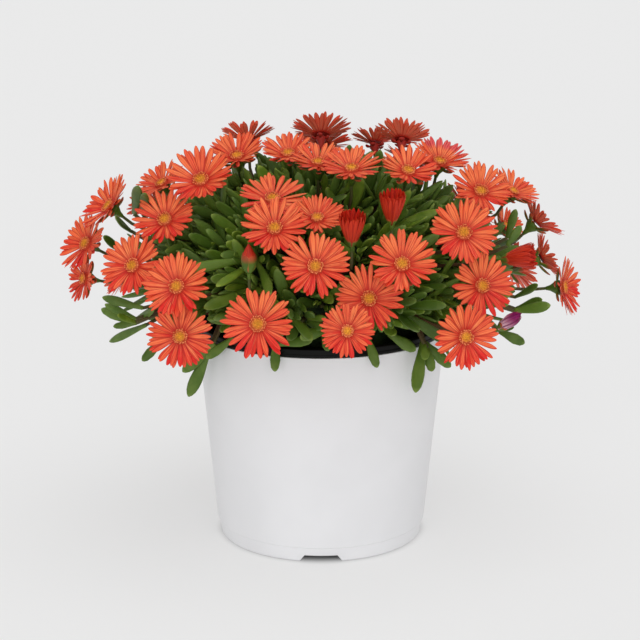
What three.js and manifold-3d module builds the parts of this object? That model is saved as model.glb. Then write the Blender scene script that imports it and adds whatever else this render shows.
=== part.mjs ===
// A potted ice plant: a white nursery pot with a black inner pot, soil, one
// clump of fleshy leaves on short stems, and daisy-like blooms, each on its
// own stalk with a green calyx. Millimetres, +Z up. The origin is on the
// floor under the middle of the plant, and the viewer stands at -Y.
import * as THREE from "three";
import { mergeVertices } from "three/addons/utils/BufferGeometryUtils.js";
import Module from "manifold-3d";

const wasm = await Module();
wasm.setup();

// Pot, outside
const POT_HEIGHT = 142.2;
const POT_TOP_RADIUS = 83.2;
const POT_LOW_RADIUS = 70.5;
const POT_WALL = 1.7;
const POT_SIDES = 32;
const FOOT_HEIGHT = 10.4;
const FOOT_STEP = 0.8;
const FOOT_RING = 3.4;
const FOOT_LEAN = 0.7;
const FOOT_INSET = 1.5;
const FOOT_EDGE = 0.8;
const FLOOR_LIFT = 6;
const FLOOR_THICK = 1.8;
const CUT_SPARE = 2;
const NOTCH = { count: 4, low: 30, high: 21.7, height: 4.5, below: 1.1, from: 58, depth: 20 };
const DRAIN = { count: 4, radius: 5, away: 38, sides: 8 };

// Black inner pot and its rolled lip
const FIT_GAP = 0.4;
const TOUCH_GAP = 0.3;
const LINER_WALL = 1.3;
const LIP_HEIGHT = 6.1;
const LIP_WIDTH = 3.2;
const LIP_INSET = 0.1;
const LIP_ROUND = 0.9;
const LIP_FLARE = 3;

// Soil, and the hole that the crown of the plant stands in
const SOIL_TOP = 132;
const SOIL_GAP = 1;
const SOIL_SIDES = 16;
const SOIL_SAG = 3;
const SOIL_LEVEL_RADIUS = 45;
const CROWN_RADIUS = 9;
const CROWN_DEPTH = 15;

// The heart of stems and shaded leaves, as radius and height, from soil to top
const HEART_PROFILE = [[60, 133.6], [69, 141], [71, 151], [82, 163], [87, 177], [82, 195],
  [69, 209], [48, 221], [24, 227]];
const HEART_TOP = 229;
const HEART_BUMPS = 4;
const HEART_EVEN = 12;
const HEART_SIDES = 16;
const HEART_DEPTH_SHARE = 0.97;
const HEART_MIDDLE = new THREE.Vector3(0, 0, 178);

// The dome that the discs of the blooms lie on
const DOME_MIDDLE = new THREE.Vector3(0, 0, 142);
const DOME_SIZE = new THREE.Vector3(160, 155, 128);

// Blooms
const PETALS = 16;
const HUB_SHARE = 0.3;
const PETAL_LAYER_ANGLE = 4;
const PETAL_WIDTH_SHARE = 0.62;
const PETAL_DEPTH = 1.15;
const PETAL_KEEL = 0.5;
const HUB_DEPTH = 1.2;
const HUB_RIM = 0.3;
const DISC_RISE = 0.13;
const DISC_LEAST_RISE = 1.6;
const DISC_TOP_SHARE = 0.6;
const BLOOM_MARGIN = 1.5;
const PUSH_STEP = 1;
const PUSH_LIMIT = 46;
const SAMPLE_SHARES = [0, 0.3, 0.6, 0.8, 1];
const SAMPLE_TURNS = 24;

// Stalks and calyces
const STALK_SIDES = 4;
const STALK_RADIUS = 1.5;
const CALYX_RADIUS = 5.4;
const CALYX_LENGTH = 8.5;
const CALYX_FOOT_RADIUS = 1.9;
const STALK_ROOTS = new THREE.Vector3(68, 66, 38);

// The ways a stalk may take, in the order they are tried: how far it runs
// straight, how far its root is turned, in radians, and how far it drops
const STALK_STRAIGHTS = [16, 8, 26, 3];
const STALK_TURNS = [0, 0.15, -0.15, 0.3, -0.3, 0.5, -0.5, 0.75, -0.75];
const STALK_DROPS = [0, 14, -14, 28, -28];
const STALK_SIGHT = 90;
const STALK_STEPS = [7, 13];
const CALYX_STEPS = 4;

// Tufts of leaves in rows round the heart: radius, height and how many
const TUFT_ROWS = [[79, 160, 9], [86, 174, 9], [84, 188, 9], [76, 202, 8], [62, 214, 7],
  [41, 223, 5], [14, 228, 3]];
const TUFT_LEAVES = 6;
const TUFT_HUB = 2.7;
const TUFT_KEEL = 0.55;
const TUFT_LIFT = [7, 20];
const TUFT_ROOT = 9;
const TUFT_TURN = [-0.2, 0.2];
const TUFT_LEAN = [-0.1, 0.3];
const UPRIGHT_RISE = [60, 76];
const SPREADING_RISE = [24, 46];
const TUFT_MARGIN = 8;
const TUFT_FEWEST = 3;
const LEAF_LENGTH = [30, 42];
const LEAF_WIDTH = [8, 10];
const LEAF_BEND = [-0.02, 0.18];
const LEAF_DEPTH_SHARE = 0.36;
const LEAF_ROOT_SHARE = 0.4;
const LEAF_WIDEST = 0.68;
const LEAF_TIP_SHARE = 0.4;
const LEAF_TRIMS = [1, 0.85, 0.7, 0.55, 0.4];
const STALK_MARGIN = 1.4;
const LEAF_MARGIN = 3.2;
const LEAF_LOWEST = 138;
const RIM_ROOM = { above: 3, beside: 4 };
const FACE_ROOM = { behind: 2, before: 16 };
const LEAF_DOME_SHARE = 0.96;
const LEAF_SIGHT = 55;
const LEAF_SPACING = 4.6;
const LEAF_SPINE = [0.4, 0.55, 0.7, 0.85, 1];
const LEAF_SHARES = [0.3, 0.45, 0.6, 0.75, 0.9, 1];
const LEAF_SIDES = [-0.5, 0, 0.5];
const LEAF_HALF_DEPTH = 1;

// The place of the viewer's eye, its downward pitch, and the focal length and
// middle of its square picture in pixels
const EYE = new THREE.Vector3(-0.65, -1265.5, 471.9);
const PITCH = THREE.MathUtils.degToRad(14.44);
const FOCAL = 1950;
const PICTURE_MIDDLE = 320;

// Blooms on the viewer's side: the pixel of the disc, the face's turn from
// the viewer towards +X, its rise above level, and the radius in mm. A bloom
// comes after those that hide part of it. far is the dome's hidden side.
const SEEN_BLOOMS = [
  { seen: [402, 264.5], turn: 3, rise: 36, radius: 22, cup: 23 },
  { seen: [315.4, 267], turn: 0, rise: 31, radius: 21.5, cup: 18 },
  { seen: [369, 299], turn: 3, rise: 25, radius: 21.5, cup: 16 },
  { seen: [347.4, 331.3], turn: 0, rise: 22, radius: 17, cup: 12 },
  { seen: [257.8, 324.4], turn: -2, rise: 25, radius: 22.5, cup: 12 },
  { seen: [274.6, 228.8], turn: 0, rise: 45, radius: 21.5, cup: 20 },
  { seen: [317, 219], turn: 8, rise: 58, radius: 18, cup: 24 },
  { seen: [272.7, 199.5], turn: 0, rise: 62, radius: 21.5, cup: 14 },
  { seen: [200.7, 180.4], turn: -12, rise: 48, radius: 23.5, cup: 28 },
  { seen: [165, 220], turn: -15, rise: 42, radius: 21.5, cup: 22 },
  { seen: [133, 266], turn: -25, rise: 30, radius: 21, cup: 16 },
  { seen: [177, 287], turn: -12, rise: 30, radius: 21.5, cup: 16 },
  { seen: [180, 336.5], turn: 0, rise: 14, radius: 20.5, cup: 8 },
  { seen: [463.5, 233], turn: 5, rise: 35, radius: 22.5, cup: 18 },
  { seen: [482, 286], turn: 15, rise: 20, radius: 21, cup: 16 },
  { seen: [465.6, 337], turn: 10, rise: 12, radius: 20.5, cup: 12 },
  { seen: [480.5, 192], turn: 15, rise: 50, radius: 21.5, cup: 24 },
  { seen: [351.5, 169.5], turn: 0, rise: 68, radius: 20.5, cup: 22 },
  { seen: [408, 171.5], turn: 15, rise: 58, radius: 20, cup: 24 },
  { seen: [439.5, 162.5], turn: 25, rise: 65, radius: 21, cup: 26 },
  { seen: [318, 163.5], turn: 0, rise: 70, radius: 19.5, cup: 24 },
  { seen: [288, 154.5], turn: -5, rise: 66, radius: 19, cup: 26 },
  { seen: [237, 157], turn: -12, rise: 62, radius: 20, cup: 30 },
  { seen: [109.5, 206.5], turn: -65, rise: 40, radius: 23, cup: 22 },
  { seen: [86.5, 244], turn: -50, rise: 30, radius: 21.5, cup: 18 },
  { seen: [84.6, 278.6], turn: -55, rise: 15, radius: 17, cup: 16 },
  { seen: [162, 184], turn: -50, rise: 55, radius: 19, cup: 24, far: true },
  { seen: [512, 192], turn: 55, rise: 55, radius: 19, cup: 26, far: true },
  { seen: [562.5, 287], turn: 66, rise: 10, radius: 20.5, cup: 20 },
  { seen: [536, 222], turn: 100, rise: 42, radius: 21, cup: 30 },
  { seen: [541, 257], turn: 100, rise: 24, radius: 18, cup: 28 },
  { seen: [248, 139], turn: 190, rise: 66, radius: 20, cup: 30, far: true },
  { seen: [321, 134.5], turn: 180, rise: 56, radius: 22, cup: 26, far: true },
  { seen: [375, 142], turn: 178, rise: 62, radius: 18, cup: 24, far: true },
  { seen: [402, 139], turn: 170, rise: 55, radius: 20, cup: 26, far: true },
  { seen: [505, 226], turn: 60, rise: 40, radius: 15, cup: 34, far: true },
];

// Blooms on the far side, in rows: height above the dome's middle in degrees,
// the first place round the plant from +X, the step, how many, and the rise
const FAR_ROWS = [
  { height: 12, from: 27, step: 25, count: 6, rise: 18 },
  { height: 35, from: 34, step: 29, count: 5, rise: 36 },
  { height: 58, from: 42, step: 46, count: 3, rise: 56 },
];
const FAR_RADIUS = 21.5;
const FAR_SPREAD = { place: 4, turn: 14, rise: 7, radius: 1.5 };
const FAR_CUP = [12, 24];

// Half open blooms, a bud and a spent bloom, with few upright petals
const CLOSED_BLOOMS = [
  { name: "half_open_1", seen: [352, 234], turn: 0, rise: 74, radius: 20, cup: 66, hub: 4, petals: 12 },
  { name: "half_open_2", seen: [392, 213], turn: 4, rise: 76, radius: 21, cup: 66, hub: 4.4, petals: 12 },
  { name: "half_open_3", seen: [514, 258], turn: 72, rise: 12, radius: 19, cup: 66, hub: 4, petals: 12 },
  { name: "bud", seen: [249, 262], turn: 0, rise: 76, radius: 14, cup: 82, hub: 3.4, petals: 8 },
  { name: "spent_bloom", seen: [507, 323], turn: 60, rise: 38, radius: 14, cup: 72, hub: 3.4, petals: 8 },
];

// Leaves that hang over the rim: the pixel of the tip and its distance from
// the pot's axis, and on the far side the place round the plant and the height
const HANGING_LEAVES = [
  { seen: [189.5, 396], away: 98 }, { seen: [183, 370], away: 102 }, { seen: [274.5, 372], away: 94 },
  { seen: [313, 341], away: 92 }, { seen: [377, 368], away: 95 }, { seen: [415.5, 393], away: 98 },
  { seen: [451, 365], away: 100 }, { seen: [143, 361], away: 114 }, { seen: [431, 371], away: 96 },
];
const FAR_HANGING_LEAVES = [[8, 126], [38, 136], [71, 124], [104, 134], [133, 122], [166, 131],
  [352, 132]];
const FAR_HANGING_AWAY = 99;
const HANGING_ROOT = [77, 177];
const HANGING_WIDTH = 8;
const HANGING_BEND = 0.02;

// Leafy shoots seen beside the blooms: the pixel of the node that the leaves
// grow from, the pixels of their tips, and the distances from the pot's axis
const SEEN_SHOOTS = [
  {
    node: { seen: [148, 322], away: 122 },
    tips: [
      { seen: [102.5, 297], away: 150 }, { seen: [101.5, 309], away: 148 },
      { seen: [112.5, 327], away: 142 }, { seen: [111, 341], away: 138 },
    ],
  },
  {
    node: { seen: [514, 306], away: 128 },
    tips: [
      { seen: [540, 286], away: 148 }, { seen: [542.5, 300], away: 147 }, { seen: [551, 306], away: 154 },
    ],
  },
  {
    node: { seen: [497, 332], away: 116 },
    tips: [{ seen: [524.5, 343.5], away: 136 }],
  },
  {
    node: { seen: [504, 248], away: 124 },
    tips: [{ seen: [516, 209], away: 126 }, { seen: [521, 226], away: 132 }],
  },
];
const SHOOT_ROOT = [72, 172];
const SHOOT_FACE = new THREE.Vector3(0, -0.6, 0.8);

const COLOURS = {
  pot: 0xf2f2f0, liner: 0x2b2d2a, soil: 0x1d1814, leaf: 0x4f8238, petal: 0xe8603f, spent: 0xb0406a,
};

// A seeded random number from 0 to 1, the same on every run
function randomSource(seed) {
  let state = seed;
  return () => {
    state = (state + 0x6d2b79f5) | 0;
    let mixed = Math.imul(state ^ (state >>> 15), 1 | state);
    mixed = (mixed + Math.imul(mixed ^ (mixed >>> 7), 61 | mixed)) ^ mixed;
    return ((mixed ^ (mixed >>> 14)) >>> 0) / 4294967296;
  };
}

const mix = (low, high, share) => low + (high - low) * share;
const either = (span, random) => mix(-span, span, random());
const radians = THREE.MathUtils.degToRad;

function finish(colour, roughness) {
  return new THREE.MeshStandardMaterial({ color: colour, roughness, metalness: 0 });
}

// A direction that no stalk runs along, to turn rings by
const SIDE_HINT = new THREE.Vector3(0.31, 0.17, 0.93);

// Closed meshes and their unions

function positionsOnly(geometry) {
  geometry.deleteAttribute("normal");
  geometry.deleteAttribute("uv");
  return mergeVertices(geometry, 1e-4);
}

function toSolid(geometry) {
  const mesh = positionsOnly(geometry);
  return new wasm.Manifold(new wasm.Mesh({
    numProp: 3,
    vertProperties: Float32Array.from(mesh.attributes.position.array),
    triVerts: Uint32Array.from(mesh.index.array),
  }));
}

function toGeometry(solid) {
  const mesh = solid.getMesh();
  const geometry = new THREE.BufferGeometry();
  geometry.setAttribute("position", new THREE.BufferAttribute(mesh.vertProperties, 3));
  geometry.setIndex(new THREE.BufferAttribute(mesh.triVerts, 1));
  geometry.computeVertexNormals();
  return geometry;
}

function union(solids) {
  let row = solids;
  while (row.length > 1) {
    const next = [];
    for (let i = 0; i < row.length; i += 2) {
      next.push(i + 1 < row.length ? row[i].add(row[i + 1]) : row[i]);
    }
    row = next;
  }
  return row[0];
}

// A mesh from points and faces, turned inside out if its volume is negative
function closedMesh(points, faces) {
  let volume = 0;
  for (const [a, b, c] of faces) {
    volume += points[a].dot(new THREE.Vector3().crossVectors(points[b], points[c]));
  }
  const geometry = new THREE.BufferGeometry().setFromPoints(points);
  geometry.setIndex(faces.flatMap(([a, b, c]) => (volume < 0 ? [a, c, b] : [a, b, c])));
  return geometry;
}

// A skin over rings with the same number of points, closed by flat ends or a tip
function loft(rings, tip) {
  const sides = rings[0].length;
  const points = rings.flat();
  const faces = [];
  for (let side = 1; side < sides - 1; side += 1) {
    faces.push([0, side + 1, side]);
  }
  for (let ring = 0; ring < rings.length - 1; ring += 1) {
    for (let side = 0; side < sides; side += 1) {
      const a = ring * sides + side;
      const b = ring * sides + ((side + 1) % sides);
      faces.push([a, b, b + sides], [a, b + sides, a + sides]);
    }
  }
  const last = (rings.length - 1) * sides;
  if (tip) {
    points.push(tip);
    for (let side = 0; side < sides; side += 1) {
      faces.push([last + side, last + ((side + 1) % sides), points.length - 1]);
    }
  } else {
    for (let side = 1; side < sides - 1; side += 1) {
      faces.push([last, last + side, last + side + 1]);
    }
  }
  return closedMesh(points, faces);
}

// A round body from a profile of radius and height, from axis to axis
function turned(profile, sides) {
  const points = profile.map(([radius, height]) => new THREE.Vector2(radius, height));
  const geometry = new THREE.LatheGeometry(points, sides);
  geometry.rotateX(Math.PI / 2);
  return geometry;
}

// Pot and soil

const innerRadius = (height) =>
  mix(POT_LOW_RADIUS, POT_TOP_RADIUS, (height - FOOT_HEIGHT) / (POT_HEIGHT - FOOT_HEIGHT)) - POT_WALL;

function drains(low, high) {
  const holes = [];
  for (let i = 0; i < DRAIN.count; i += 1) {
    const turn = ((i + 0.5) * 2 * Math.PI) / DRAIN.count;
    const hole = new THREE.CylinderGeometry(DRAIN.radius, DRAIN.radius, high - low, DRAIN.sides);
    hole.rotateX(Math.PI / 2);
    hole.translate(DRAIN.away * Math.cos(turn), DRAIN.away * Math.sin(turn), (low + high) / 2);
    holes.push(toSolid(hole));
  }
  return union(holes);
}

// One gap in the foot ring, wider at the floor than at its top
function notch(turn) {
  const shape = new THREE.Shape();
  shape.moveTo(-NOTCH.low / 2, -NOTCH.below);
  shape.lineTo(NOTCH.low / 2, -NOTCH.below);
  shape.lineTo(NOTCH.high / 2, NOTCH.height);
  shape.lineTo(-NOTCH.high / 2, NOTCH.height);
  shape.closePath();
  const cut = new THREE.ExtrudeGeometry(shape, { depth: NOTCH.depth, bevelEnabled: false });
  cut.rotateX(Math.PI / 2);
  cut.translate(0, -NOTCH.from, 0);
  cut.rotateZ(turn);
  return toSolid(cut);
}

function potShell() {
  const foot = POT_LOW_RADIUS - FOOT_STEP;
  const floorTop = FLOOR_LIFT + FLOOR_THICK;
  const body = toSolid(turned([
    [0, FLOOR_LIFT], [foot - FOOT_RING - FOOT_INSET, FLOOR_LIFT],
    [foot - FOOT_RING - FOOT_INSET - FOOT_LEAN, 0],
    [foot - FOOT_INSET - FOOT_LEAN, 0], [foot - FOOT_INSET, FOOT_EDGE],
    [foot, FOOT_HEIGHT - FOOT_EDGE], [POT_LOW_RADIUS, FOOT_HEIGHT],
    [POT_TOP_RADIUS, POT_HEIGHT], [innerRadius(POT_HEIGHT), POT_HEIGHT],
    [innerRadius(floorTop), floorTop], [0, floorTop],
  ], POT_SIDES));
  const notches = [];
  for (let i = 0; i < NOTCH.count; i += 1) {
    notches.push(notch((i * 2 * Math.PI) / NOTCH.count));
  }
  const cut = union([...notches, drains(FLOOR_LIFT - CUT_SPARE, floorTop + CUT_SPARE)]);
  return toGeometry(body.subtract(cut));
}

function potLiner() {
  const low = FLOOR_LIFT + FLOOR_THICK + FIT_GAP;
  const lipLow = POT_HEIGHT + TOUCH_GAP;
  const top = POT_HEIGHT + LIP_HEIGHT;
  const lip = POT_TOP_RADIUS - LIP_INSET;
  const outer = (height) => innerRadius(height) - FIT_GAP;
  const inner = (height) => outer(height) - LINER_WALL;
  const body = toSolid(turned([
    [0, low], [outer(low), low], [outer(lipLow), lipLow], [lip, lipLow], [lip, top - LIP_ROUND],
    [lip - LIP_ROUND, top], [lip - LIP_WIDTH + LIP_ROUND, top], [lip - LIP_WIDTH, top - LIP_ROUND],
    [inner(POT_HEIGHT - LIP_FLARE), POT_HEIGHT - LIP_FLARE], [inner(low + LINER_WALL), low + LINER_WALL],
    [0, low + LINER_WALL],
  ], POT_SIDES));
  return toGeometry(body.subtract(drains(low - CUT_SPARE, low + LINER_WALL + CUT_SPARE)));
}

function soilBody() {
  const low = FLOOR_LIFT + FLOOR_THICK + 2 * FIT_GAP + LINER_WALL;
  const edge = (height) => innerRadius(height) - FIT_GAP - LINER_WALL - SOIL_GAP;
  const hole = CROWN_RADIUS + FIT_GAP;
  const geometry = turned([
    [0, low], [edge(low), low], [edge(SOIL_TOP - SOIL_SAG), SOIL_TOP - SOIL_SAG],
    [SOIL_LEVEL_RADIUS, SOIL_TOP], [hole, SOIL_TOP], [hole, SOIL_TOP - CROWN_DEPTH - FIT_GAP],
    [0, SOIL_TOP - CROWN_DEPTH - FIT_GAP],
  ], SOIL_SIDES);
  return positionsOnly(geometry);
}

// Places seen by the viewer

function sightLine([across, down]) {
  const forward = new THREE.Vector3(0, Math.cos(PITCH), -Math.sin(PITCH));
  const up = new THREE.Vector3(0, Math.sin(PITCH), Math.cos(PITCH));
  return forward
    .addScaledVector(new THREE.Vector3(1, 0, 0), (across - PICTURE_MIDDLE) / FOCAL)
    .addScaledVector(up, (PICTURE_MIDDLE - down) / FOCAL)
    .normalize();
}

// Where a sight line meets the dome, or passes nearest to it
function onDome(seen, far) {
  const line = sightLine(seen);
  const from = EYE.clone().sub(DOME_MIDDLE).divide(DOME_SIZE);
  const along = line.clone().divide(DOME_SIZE);
  const a = along.lengthSq();
  const b = from.dot(along);
  const c = from.lengthSq() - 1;
  const root = Math.sqrt(Math.max(b * b - a * c, 0));
  const distance = (-b + (far ? root : -root)) / a;
  return EYE.clone().addScaledVector(line, distance);
}

// Where a sight line meets an upright cylinder round the pot's axis
function onCylinder(seen, away) {
  const line = sightLine(seen);
  const a = line.x ** 2 + line.y ** 2;
  const b = EYE.x * line.x + EYE.y * line.y;
  const c = EYE.x ** 2 + EYE.y ** 2 - away ** 2;
  const distance = (-b - Math.sqrt(Math.max(b * b - a * c, 0))) / a;
  return EYE.clone().addScaledVector(line, distance);
}

function faceDirection(turn, rise) {
  const level = Math.cos(radians(rise));
  return new THREE.Vector3(
    Math.sin(radians(turn)) * level, -Math.cos(radians(turn)) * level, Math.sin(radians(rise)));
}

// Blooms: a place, a face direction, a hub and petals that rise from it

function makeBloom(spec, name, place, line) {
  const hub = spec.hub ?? HUB_SHARE * spec.radius;
  return {
    ...spec, name, hub, line, place,
    face: spec.face ?? faceDirection(spec.turn, spec.rise),
    petals: spec.petals ?? PETALS,
    length: spec.radius - hub,
  };
}

// Tip of a petal, as distance from the bloom's axis and height over its hub
function petalTip(bloom, upper, share = 1) {
  const angle = radians(bloom.cup + (upper ? PETAL_LAYER_ANGLE : -PETAL_LAYER_ANGLE));
  const reach = bloom.length * share;
  return [bloom.hub + reach * Math.cos(angle), reach * Math.sin(angle)];
}

function segmentGap(r, h, r0, h0, r1, h1) {
  const dr = r1 - r0;
  const dh = h1 - h0;
  const share = THREE.MathUtils.clamp(((r - r0) * dr + (h - h0) * dh) / (dr * dr + dh * dh), 0, 1);
  return Math.hypot(r - r0 - share * dr, h - h0 - share * dh);
}

// How far a point is from a bloom's petals, and whether it is over their face
function bloomGap(bloom, point) {
  const offset = point.clone().sub(bloom.place);
  const h = offset.dot(bloom.face);
  const r = Math.sqrt(Math.max(offset.lengthSq() - h * h, 0));
  const [lowR, lowH] = petalTip(bloom, false);
  const [highR, highH] = petalTip(bloom, true);
  const gap = Math.min(
    segmentGap(r, h, 0, 0, bloom.hub, 0),
    segmentGap(r, h, bloom.hub, 0, lowR, lowH),
    segmentGap(r, h, bloom.hub, 0, highR, highH));
  const slope = Math.tan(radians(bloom.cup));
  const over = h - Math.max(r - bloom.hub, 0) * slope;
  return { gap, over, inside: r < Math.max(lowR, highR) + BLOOM_MARGIN, height: h, away: r };
}

function bloomSamples(bloom) {
  const side = new THREE.Vector3(0, 0, 1).cross(bloom.face).normalize();
  const up = bloom.face.clone().cross(side);
  const samples = [bloom.place.clone()];
  for (const upper of [false, true]) {
    for (const share of SAMPLE_SHARES) {
      const [r, h] = petalTip(bloom, upper, share);
      for (let i = 0; i < SAMPLE_TURNS; i += 1) {
        const turn = (i * 2 * Math.PI) / SAMPLE_TURNS;
        samples.push(bloom.place.clone()
          .addScaledVector(side, r * Math.cos(turn))
          .addScaledVector(up, r * Math.sin(turn))
          .addScaledVector(bloom.face, h));
      }
    }
  }
  return samples;
}

function passesThrough(samples, bloom) {
  let over = 0;
  let under = 0;
  for (const point of samples) {
    const state = bloomGap(bloom, point);
    if (state.gap < BLOOM_MARGIN) {
      return true;
    }
    if (state.inside && state.over > 0) {
      over += 1;
    }
    if (state.inside && state.over < 0) {
      under += 1;
    }
  }
  return over > 0 && under > 0;
}

function bloomsClash(one, other) {
  if (one.place.distanceTo(other.place) > one.radius + other.radius + BLOOM_MARGIN) {
    return false;
  }
  return passesThrough(bloomSamples(one), other) || passesThrough(bloomSamples(other), one);
}

// Each bloom slides along the line it is seen on until it is clear of the
// ones before it
function settle(blooms) {
  const settled = [];
  for (const bloom of blooms) {
    let push = 0;
    while (push < PUSH_LIMIT && settled.some((other) => bloomsClash(bloom, other))) {
      bloom.place.addScaledVector(bloom.line, PUSH_STEP);
      push += PUSH_STEP;
    }
    settled.push(bloom);
  }
  return settled;
}

function seenBloom(spec, name) {
  return makeBloom(spec, name, onDome(spec.seen, spec.far), sightLine(spec.seen));
}

function farBlooms(firstNumber) {
  const random = randomSource(11);
  const blooms = [];
  for (const row of FAR_ROWS) {
    for (let i = 0; i < row.count; i += 1) {
      const round = radians(row.from + i * row.step + either(FAR_SPREAD.place, random));
      const height = radians(row.height + either(FAR_SPREAD.place, random));
      const out = new THREE.Vector3(
        Math.cos(round) * Math.cos(height), Math.sin(round) * Math.cos(height), Math.sin(height));
      const place = out.clone().multiply(DOME_SIZE).add(DOME_MIDDLE);
      const turn = THREE.MathUtils.radToDeg(round) + 90 + either(FAR_SPREAD.turn, random);
      const rise = row.rise + either(FAR_SPREAD.rise, random);
      const radius = FAR_RADIUS + either(FAR_SPREAD.radius, random);
      const spec = { turn, rise, radius, cup: mix(...FAR_CUP, random()) };
      const name = `bloom_${String(firstNumber + blooms.length).padStart(2, "0")}`;
      blooms.push(makeBloom(spec, name, place, out.clone().negate()));
    }
  }
  return blooms;
}

// A whorl of blades round a hub in the plane z = 0. Each blade rises from the
// hub by its own angle; its outline gives the share of its length and the
// distance from its middle line; a keel below makes it solid, and all keels
// run down to one point under the hub. Returns the hub's points for a cap.
function whorl(hub, depth, blades) {
  const points = [];
  const faces = [];
  const add = (radius, turn, height, aside = 0) => {
    points.push(new THREE.Vector3(
      radius * Math.cos(turn) - aside * Math.sin(turn),
      radius * Math.sin(turn) + aside * Math.cos(turn), height));
    return points.length - 1;
  };
  const step = (2 * Math.PI) / blades.length;
  const rim = blades.map((blade, i) => add(hub, (i - 0.5) * step, 0));
  const below = add(0, 0, -depth);
  blades.forEach((blade, i) => {
    const here = rim[i];
    const next = rim[(i + 1) % rim.length];
    if (blade.length === 0) {
      faces.push([below, next, here]);
      return;
    }
    const level = Math.cos(blade.rise);
    const climb = Math.sin(blade.rise);
    const place = (share, aside, deep = 0) => {
      const reach = blade.length * share;
      const lift = blade.bend * blade.length * share * share - deep;
      return add(hub + reach * level - lift * climb, i * step, reach * climb + lift * level, aside);
    };
    const edge = [here, ...blade.outline.map(([share, aside]) => place(share, aside)), next];
    const keel = place(blade.keel, 0, blade.deep);
    for (let k = 1; k < edge.length - 1; k += 1) {
      faces.push([here, edge[k], edge[k + 1]]);
    }
    for (let k = 0; k < edge.length - 1; k += 1) {
      faces.push([edge[k + 1], edge[k], keel]);
    }
    faces.push([below, next, keel], [below, keel, here]);
  });
  return { points, faces, rim, add, step };
}

// Where a petal's keel is deepest, as a share of its length. A petal that rises
// steeply has it near its root, so that the keel's line to the point under the
// hub still passes below the hub's rim.
function petalKeel(hub, length, rise) {
  const below = HUB_DEPTH - HUB_RIM;
  const deep = PETAL_DEPTH * Math.cos(rise);
  const room = below * (hub + PETAL_DEPTH * Math.sin(rise)) - (HUB_DEPTH - deep) * hub;
  const climb = length * (hub * Math.sin(rise) - below * Math.cos(rise));
  return climb > 0 ? Math.min(PETAL_KEEL, room / climb) : PETAL_KEEL;
}

// The bloom's solid, with its hub at the origin and its face along +Z: a low
// disc, and petals in two layers
function bloomGeometry(bloom) {
  const { petals, hub, length } = bloom;
  const blades = [];
  for (let i = 0; i < petals; i += 1) {
    const rise = radians(bloom.cup + (i % 2 === 1 ? PETAL_LAYER_ANGLE : -PETAL_LAYER_ANGLE));
    const half = (PETAL_WIDTH_SHARE * Math.PI * (hub + length * Math.cos(rise))) / petals;
    blades.push({
      rise, length, bend: 0, keel: petalKeel(hub, length, rise), deep: PETAL_DEPTH,
      outline: [[1, -half], [1, half]],
    });
  }
  const { points, faces, rim, add, step } = whorl(hub, HUB_DEPTH, blades);
  // The disc: half as many points as petals, and a flat middle
  const rise = Math.max(DISC_RISE * bloom.radius, DISC_LEAST_RISE);
  const crown = [];
  for (let i = 0; i < petals / 2; i += 1) {
    crown.push(add(hub * DISC_TOP_SHARE, (2 * i + 0.5) * step, rise));
  }
  for (let i = 0; i < petals / 2; i += 1) {
    const low = crown[i];
    const high = crown[(i + 1) % crown.length];
    const [a, b, c] = [rim[2 * i], rim[2 * i + 1], rim[(2 * i + 2) % petals]];
    faces.push([a, b, low], [b, c, low], [c, high, low]);
  }
  for (let i = 1; i < crown.length - 1; i += 1) {
    faces.push([crown[0], crown[i], crown[i + 1]]);
  }
  return closedMesh(points, faces);
}

function bloomMesh(bloom, material) {
  const mesh = new THREE.Mesh(bloomGeometry(bloom), material);
  mesh.name = bloom.name;
  mesh.position.copy(bloom.place);
  mesh.quaternion.setFromUnitVectors(new THREE.Vector3(0, 0, 1), bloom.face);
  return mesh;
}

// Stalks

function ringRound(place, direction, radius, sides) {
  const side = SIDE_HINT.clone().cross(direction).normalize();
  const up = direction.clone().cross(side).normalize();
  const ring = [];
  for (let i = 0; i < sides; i += 1) {
    const turn = (i * 2 * Math.PI) / sides;
    ring.push(place.clone()
      .addScaledVector(side, radius * Math.cos(turn))
      .addScaledVector(up, radius * Math.sin(turn)));
  }
  return ring;
}

// A stalk's least gap to the other blooms, over points from its top to its root
function stalkGap({ top, bend, root, calyx }, others) {
  const [first, second] = STALK_STEPS;
  let gap = Infinity;
  for (let i = 0; i <= first + second; i += 1) {
    const point = i < first
      ? top.clone().lerp(bend, i / first)
      : bend.clone().lerp(root, (i - first) / second);
    const radius = i < CALYX_STEPS - 1 ? calyx * (1 - i / CALYX_STEPS) : STALK_RADIUS;
    for (const other of others) {
      gap = Math.min(gap, bloomGap(other, point).gap - radius);
    }
  }
  return gap;
}

// The stalk leaves the calyx straight and then bends to a root in the heart.
// Roots further round or lower are tried until it is clear of other blooms.
function stalkPath(bloom, blooms) {
  const calyx = Math.min(CALYX_RADIUS, bloom.hub + 1);
  const top = bloom.place.clone().addScaledVector(bloom.face, -(HUB_DEPTH + FIT_GAP));
  const neck = top.clone().addScaledVector(bloom.face, -CALYX_LENGTH);
  const others = blooms.filter(
    (other) => other !== bloom && other.place.distanceTo(top) < STALK_SIGHT);
  let best = null;
  for (const straight of STALK_STRAIGHTS) {
    for (const turn of STALK_TURNS) {
      for (const drop of STALK_DROPS) {
        const bend = neck.clone().addScaledVector(bloom.face, -straight);
        const root = bend.clone().sub(HEART_MIDDLE);
        root.applyAxisAngle(new THREE.Vector3(0, 0, 1), turn);
        root.z -= drop;
        root.divideScalar(root.clone().divide(STALK_ROOTS).length()).add(HEART_MIDDLE);
        const path = { top, neck, bend, root, calyx };
        const gap = stalkGap(path, others);
        if (!best || gap > best.gap) {
          best = { ...path, gap };
        }
        if (gap > STALK_MARGIN) {
          return best;
        }
      }
    }
  }
  return best;
}

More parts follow.
